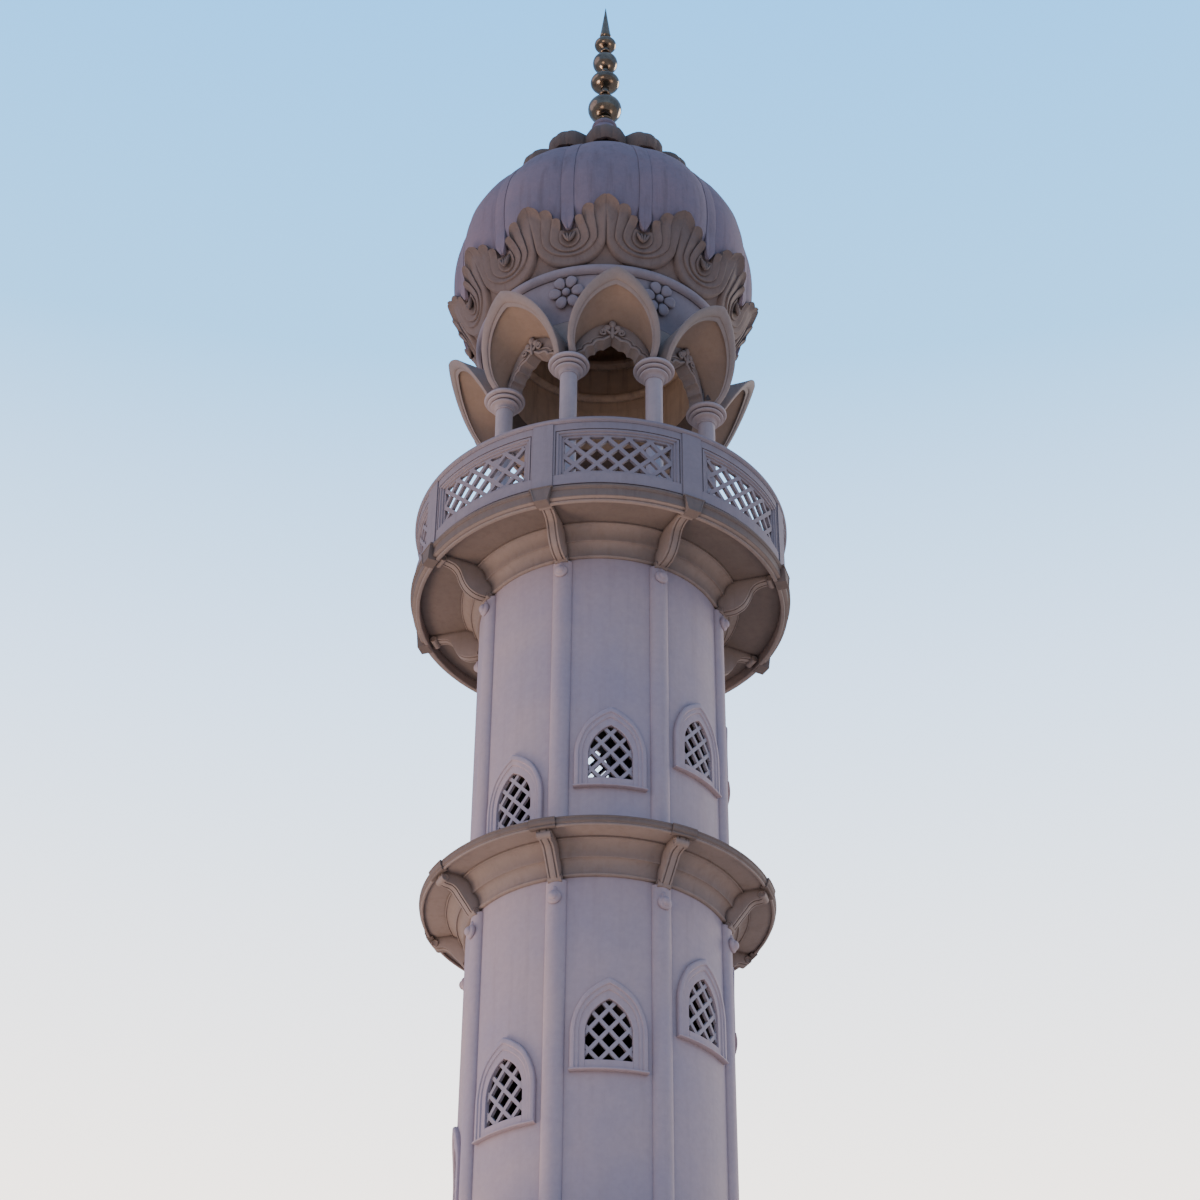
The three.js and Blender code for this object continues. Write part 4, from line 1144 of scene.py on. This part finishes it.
def make_leaves():
    parts = [0.015, 0.1, 0.22, 0.36, 0.5, 0.64, 0.78, 0.9, 0.985]
    across = [(loop, part) for loop in range(4) for part in parts]
    across[0], across[-1] = (0, 0.0), (3, 1.0)
    leaf = grid(len(across) - 1, 64)
    shape(leaf, lambda co: leaf_point(*across[round((co.x + 1) / 2 * (len(across) - 1))], co.y))
    ring = ring_of(leaf, "leaf_ring", EYES)
    edit(ring)
    ops.mesh.select_mode(type="VERT")
    ops.mesh.remove_doubles(threshold=3e-4)

    def drawn_to(radius, up, share=1.0):
        def move(co):
            r = reach(co)
            return drawn(co, (r + (radius - r) * share) / r, up if share < 1.0 else up - co.z)
        return move

    # The rim turns in behind the scallops, and the feet of the bands turn in to the wall behind them
    for high, moves in ((True, (drawn_to(1.9, 0.008, 0.1), drawn_to(1.9, -0.03, 0.25),
            drawn_to(1.85, 27.05))), (False, (drawn_to(1.7, 0.002, 0.25), drawn_to(1.66, 26.75)))):
        pick(ring, lambda e: e.is_boundary and high == (sum(v.co.z for v in e.verts) / 2 > LEAF_EYE_Z
            + 0.02), "EDGE")
        for move in moves:
            pull(0, 0, 0)
            nudge(ring, move)
    pick(ring, lambda e: e.is_boundary, "EDGE")
    ops.mesh.bridge_edge_loops()
    select_whole()
    ops.mesh.normals_make_consistent(inside=False)
    leave()
    # The plain wall that shows in the gaps between the bands
    back = [(r - 0.08, z) for r, z in LEAF_LINE if z < 27.2]
    wall = turned("leaf_wall", [(1.66, DRUM_TOP + GAP), (1.73, DRUM_TOP + GAP), *back[1:], (1.7, 27.2)],
        steps=144)
    # A bud of four narrow petals hangs in each eye
    bud = join("bud", [knob((0.02, 0.034, 0.085), (0.037 * k, -2.005, 27.02 + 0.01 * abs(k)), 0.3 * k,
        rings=8) for k in (-1.5, -0.5, 0.5, 1.5)])
    buds = ring_of(bud, "buds", EYES)
    # Painted shade: the collar takes the darker leaf plaster
    place(join("leaf_ring", [wall, buds, ring]), LEAVES, ["leaf_collar"], crease=42)


# Lotus crown and finial

def make_lotus():
    petal = grid(20, 34)
    path = smooth_line(mm(400, 30080, 650, 30020, 900, 30030, 1080, 30045, 1200, 30020, 1275, 29950, 1310,
        29860, 1312, 29780, 1290, 29720), 6)

    def lay(co):
        s = (co.y + 1) / 2
        r, z = point_at(path, s)
        half = 0.12 + 0.135 * sin(min(s / 0.7, 1.0) * pi / 2)
        # The lip is rounded: its corners stand back from its middle
        r = 0.4 + (r - 0.4) * (1 - 0.2 * abs(co.x) ** 3)
        angle = co.x * half / max(r, 0.9) * (1 - 0.12 * max(0.0, (s - 0.75) / 0.25) ** 2)
        r += 0.014 * cos(co.x * 11.0) * min(max(s - 0.4, 0.0) / 0.3, 1.0)
        lift = 0.03 * (1 - abs(co.x) ** 2) * s
        return Vector((r * sin(angle), -r * cos(angle), z + lift))

    shape(petal, lay)
    modify_and_close(petal, "SOLIDIFY", thickness=0.08)
    modify(petal, "BEVEL", width=0.034, segments=3, limit_method="ANGLE", angle_limit=radians(50))
    petals = ring_of(petal, "lotus_petals", [eye - LOBE_SECTOR / 2 for eye in EYES])
    place(petals, LOTUS, crease=55)
    line = smooth_line([(0.54, DOME_TOP + GAP), *mm(565, 30100, 545, 30250, 440, 30500, 370, 30750, 310,
        31000, 250, 31200, 185, 31350)], 4)
    cone = turned("lotus_cone", [(0, DOME_TOP + GAP), *line, *mm(180, 31370, 195, 31385, 202, 31410, 195,
        31435, 175, 31450), (0.16, FINIAL_Z), (0, FINIAL_Z)], steps=144)

    def flute(co):
        if co.z > 31.36 or co.z < 29.96:
            return co
        return drawn(co, 1.0 + 0.035 * (1 - 2 * lobe_distance(co) ** 1.5) * min((31.36 - co.z) / 0.3, 1.0))

    shape(cone, flute)
    # The cone takes the darker dome plaster: painted shade
    place(cone, DOME, ["lotus_crown"], crease=50)


def make_finial():
    balls = [(0.264, 31.846, 0.86), (0.23, 32.47, 0.6), (0.197, 32.935, 0.93), (0.174, 33.38, 0.62)]
    profile = [(0, FINIAL_Z + GAP), (0.15, FINIAL_Z + GAP), *mm(152, 31500, 140, 31515, 122, 31530, 116,
        31552, 128, 31562, 134, 31572, 128, 31582, 108, 31590)]
    neck = 0.066
    for index, (radius, z, squash) in enumerate(balls):
        start = asin(min(0.94, (neck + 0.012) / radius))
        for i in range(17):
            angle = start + (pi - 2 * start) * i / 16
            out, up = radius * sin(angle), -radius * squash * cos(angle)
            profile.append((out, z + up))
        top = z + radius * squash * cos(start)
        if index < len(balls) - 1:
            nxt = balls[index + 1]
            low = nxt[1] - nxt[0] * nxt[2] * cos(asin((neck + 0.012) / nxt[0]))
            middle = (top + low) / 2
            profile += [(neck, top + 0.006), (neck - 0.006, middle - 0.022), (neck + 0.012, middle - 0.018),
                (neck + 0.024, middle - 0.006), (neck + 0.024, middle + 0.006),
                (neck + 0.012, middle + 0.018), (neck - 0.006, middle + 0.022), (neck, low - 0.006)]
    profile += [*mm(64, 33520, 62, 33560, 82, 33575, 90, 33590, 90, 33610, 80, 33622, 81, 33640, 62, 33800,
        38, 34000, 14, 34200, 5, 34285), (0, TIP_Z)]
    piece = turned("spire_finial", profile, steps=72)
    place(piece, BRASS, ["finial"], slot="finial", crease=35)


make_plinth()
window_master = make_window()
make_storey("base", PLINTH_TOP + GAP, LOWER_NECK, BASE_MOULD_TOP + GAP, window_master, door=True)
for storey, below, neck in (("middle", LOWER_NECK, MIDDLE_NECK), ("upper", MIDDLE_NECK, UPPER_NECK)):
    make_storey(storey, below + SLAB_TOP + GAP, neck, below + SLAB_TOP + GAP, window_master)
bpy.data.objects.remove(window_master)
make_door()
make_eave("lower_eave", "lower_gallery", LOWER_NECK)
make_eave("middle_eave", "middle_gallery", MIDDLE_NECK)
make_balcony()
make_railing()
make_columns()
make_arches()
make_drum()
make_rosettes()
make_dome()
make_ribbons()
make_leaves()
make_lotus()
make_finial()

bpy.context.view_layer.update()
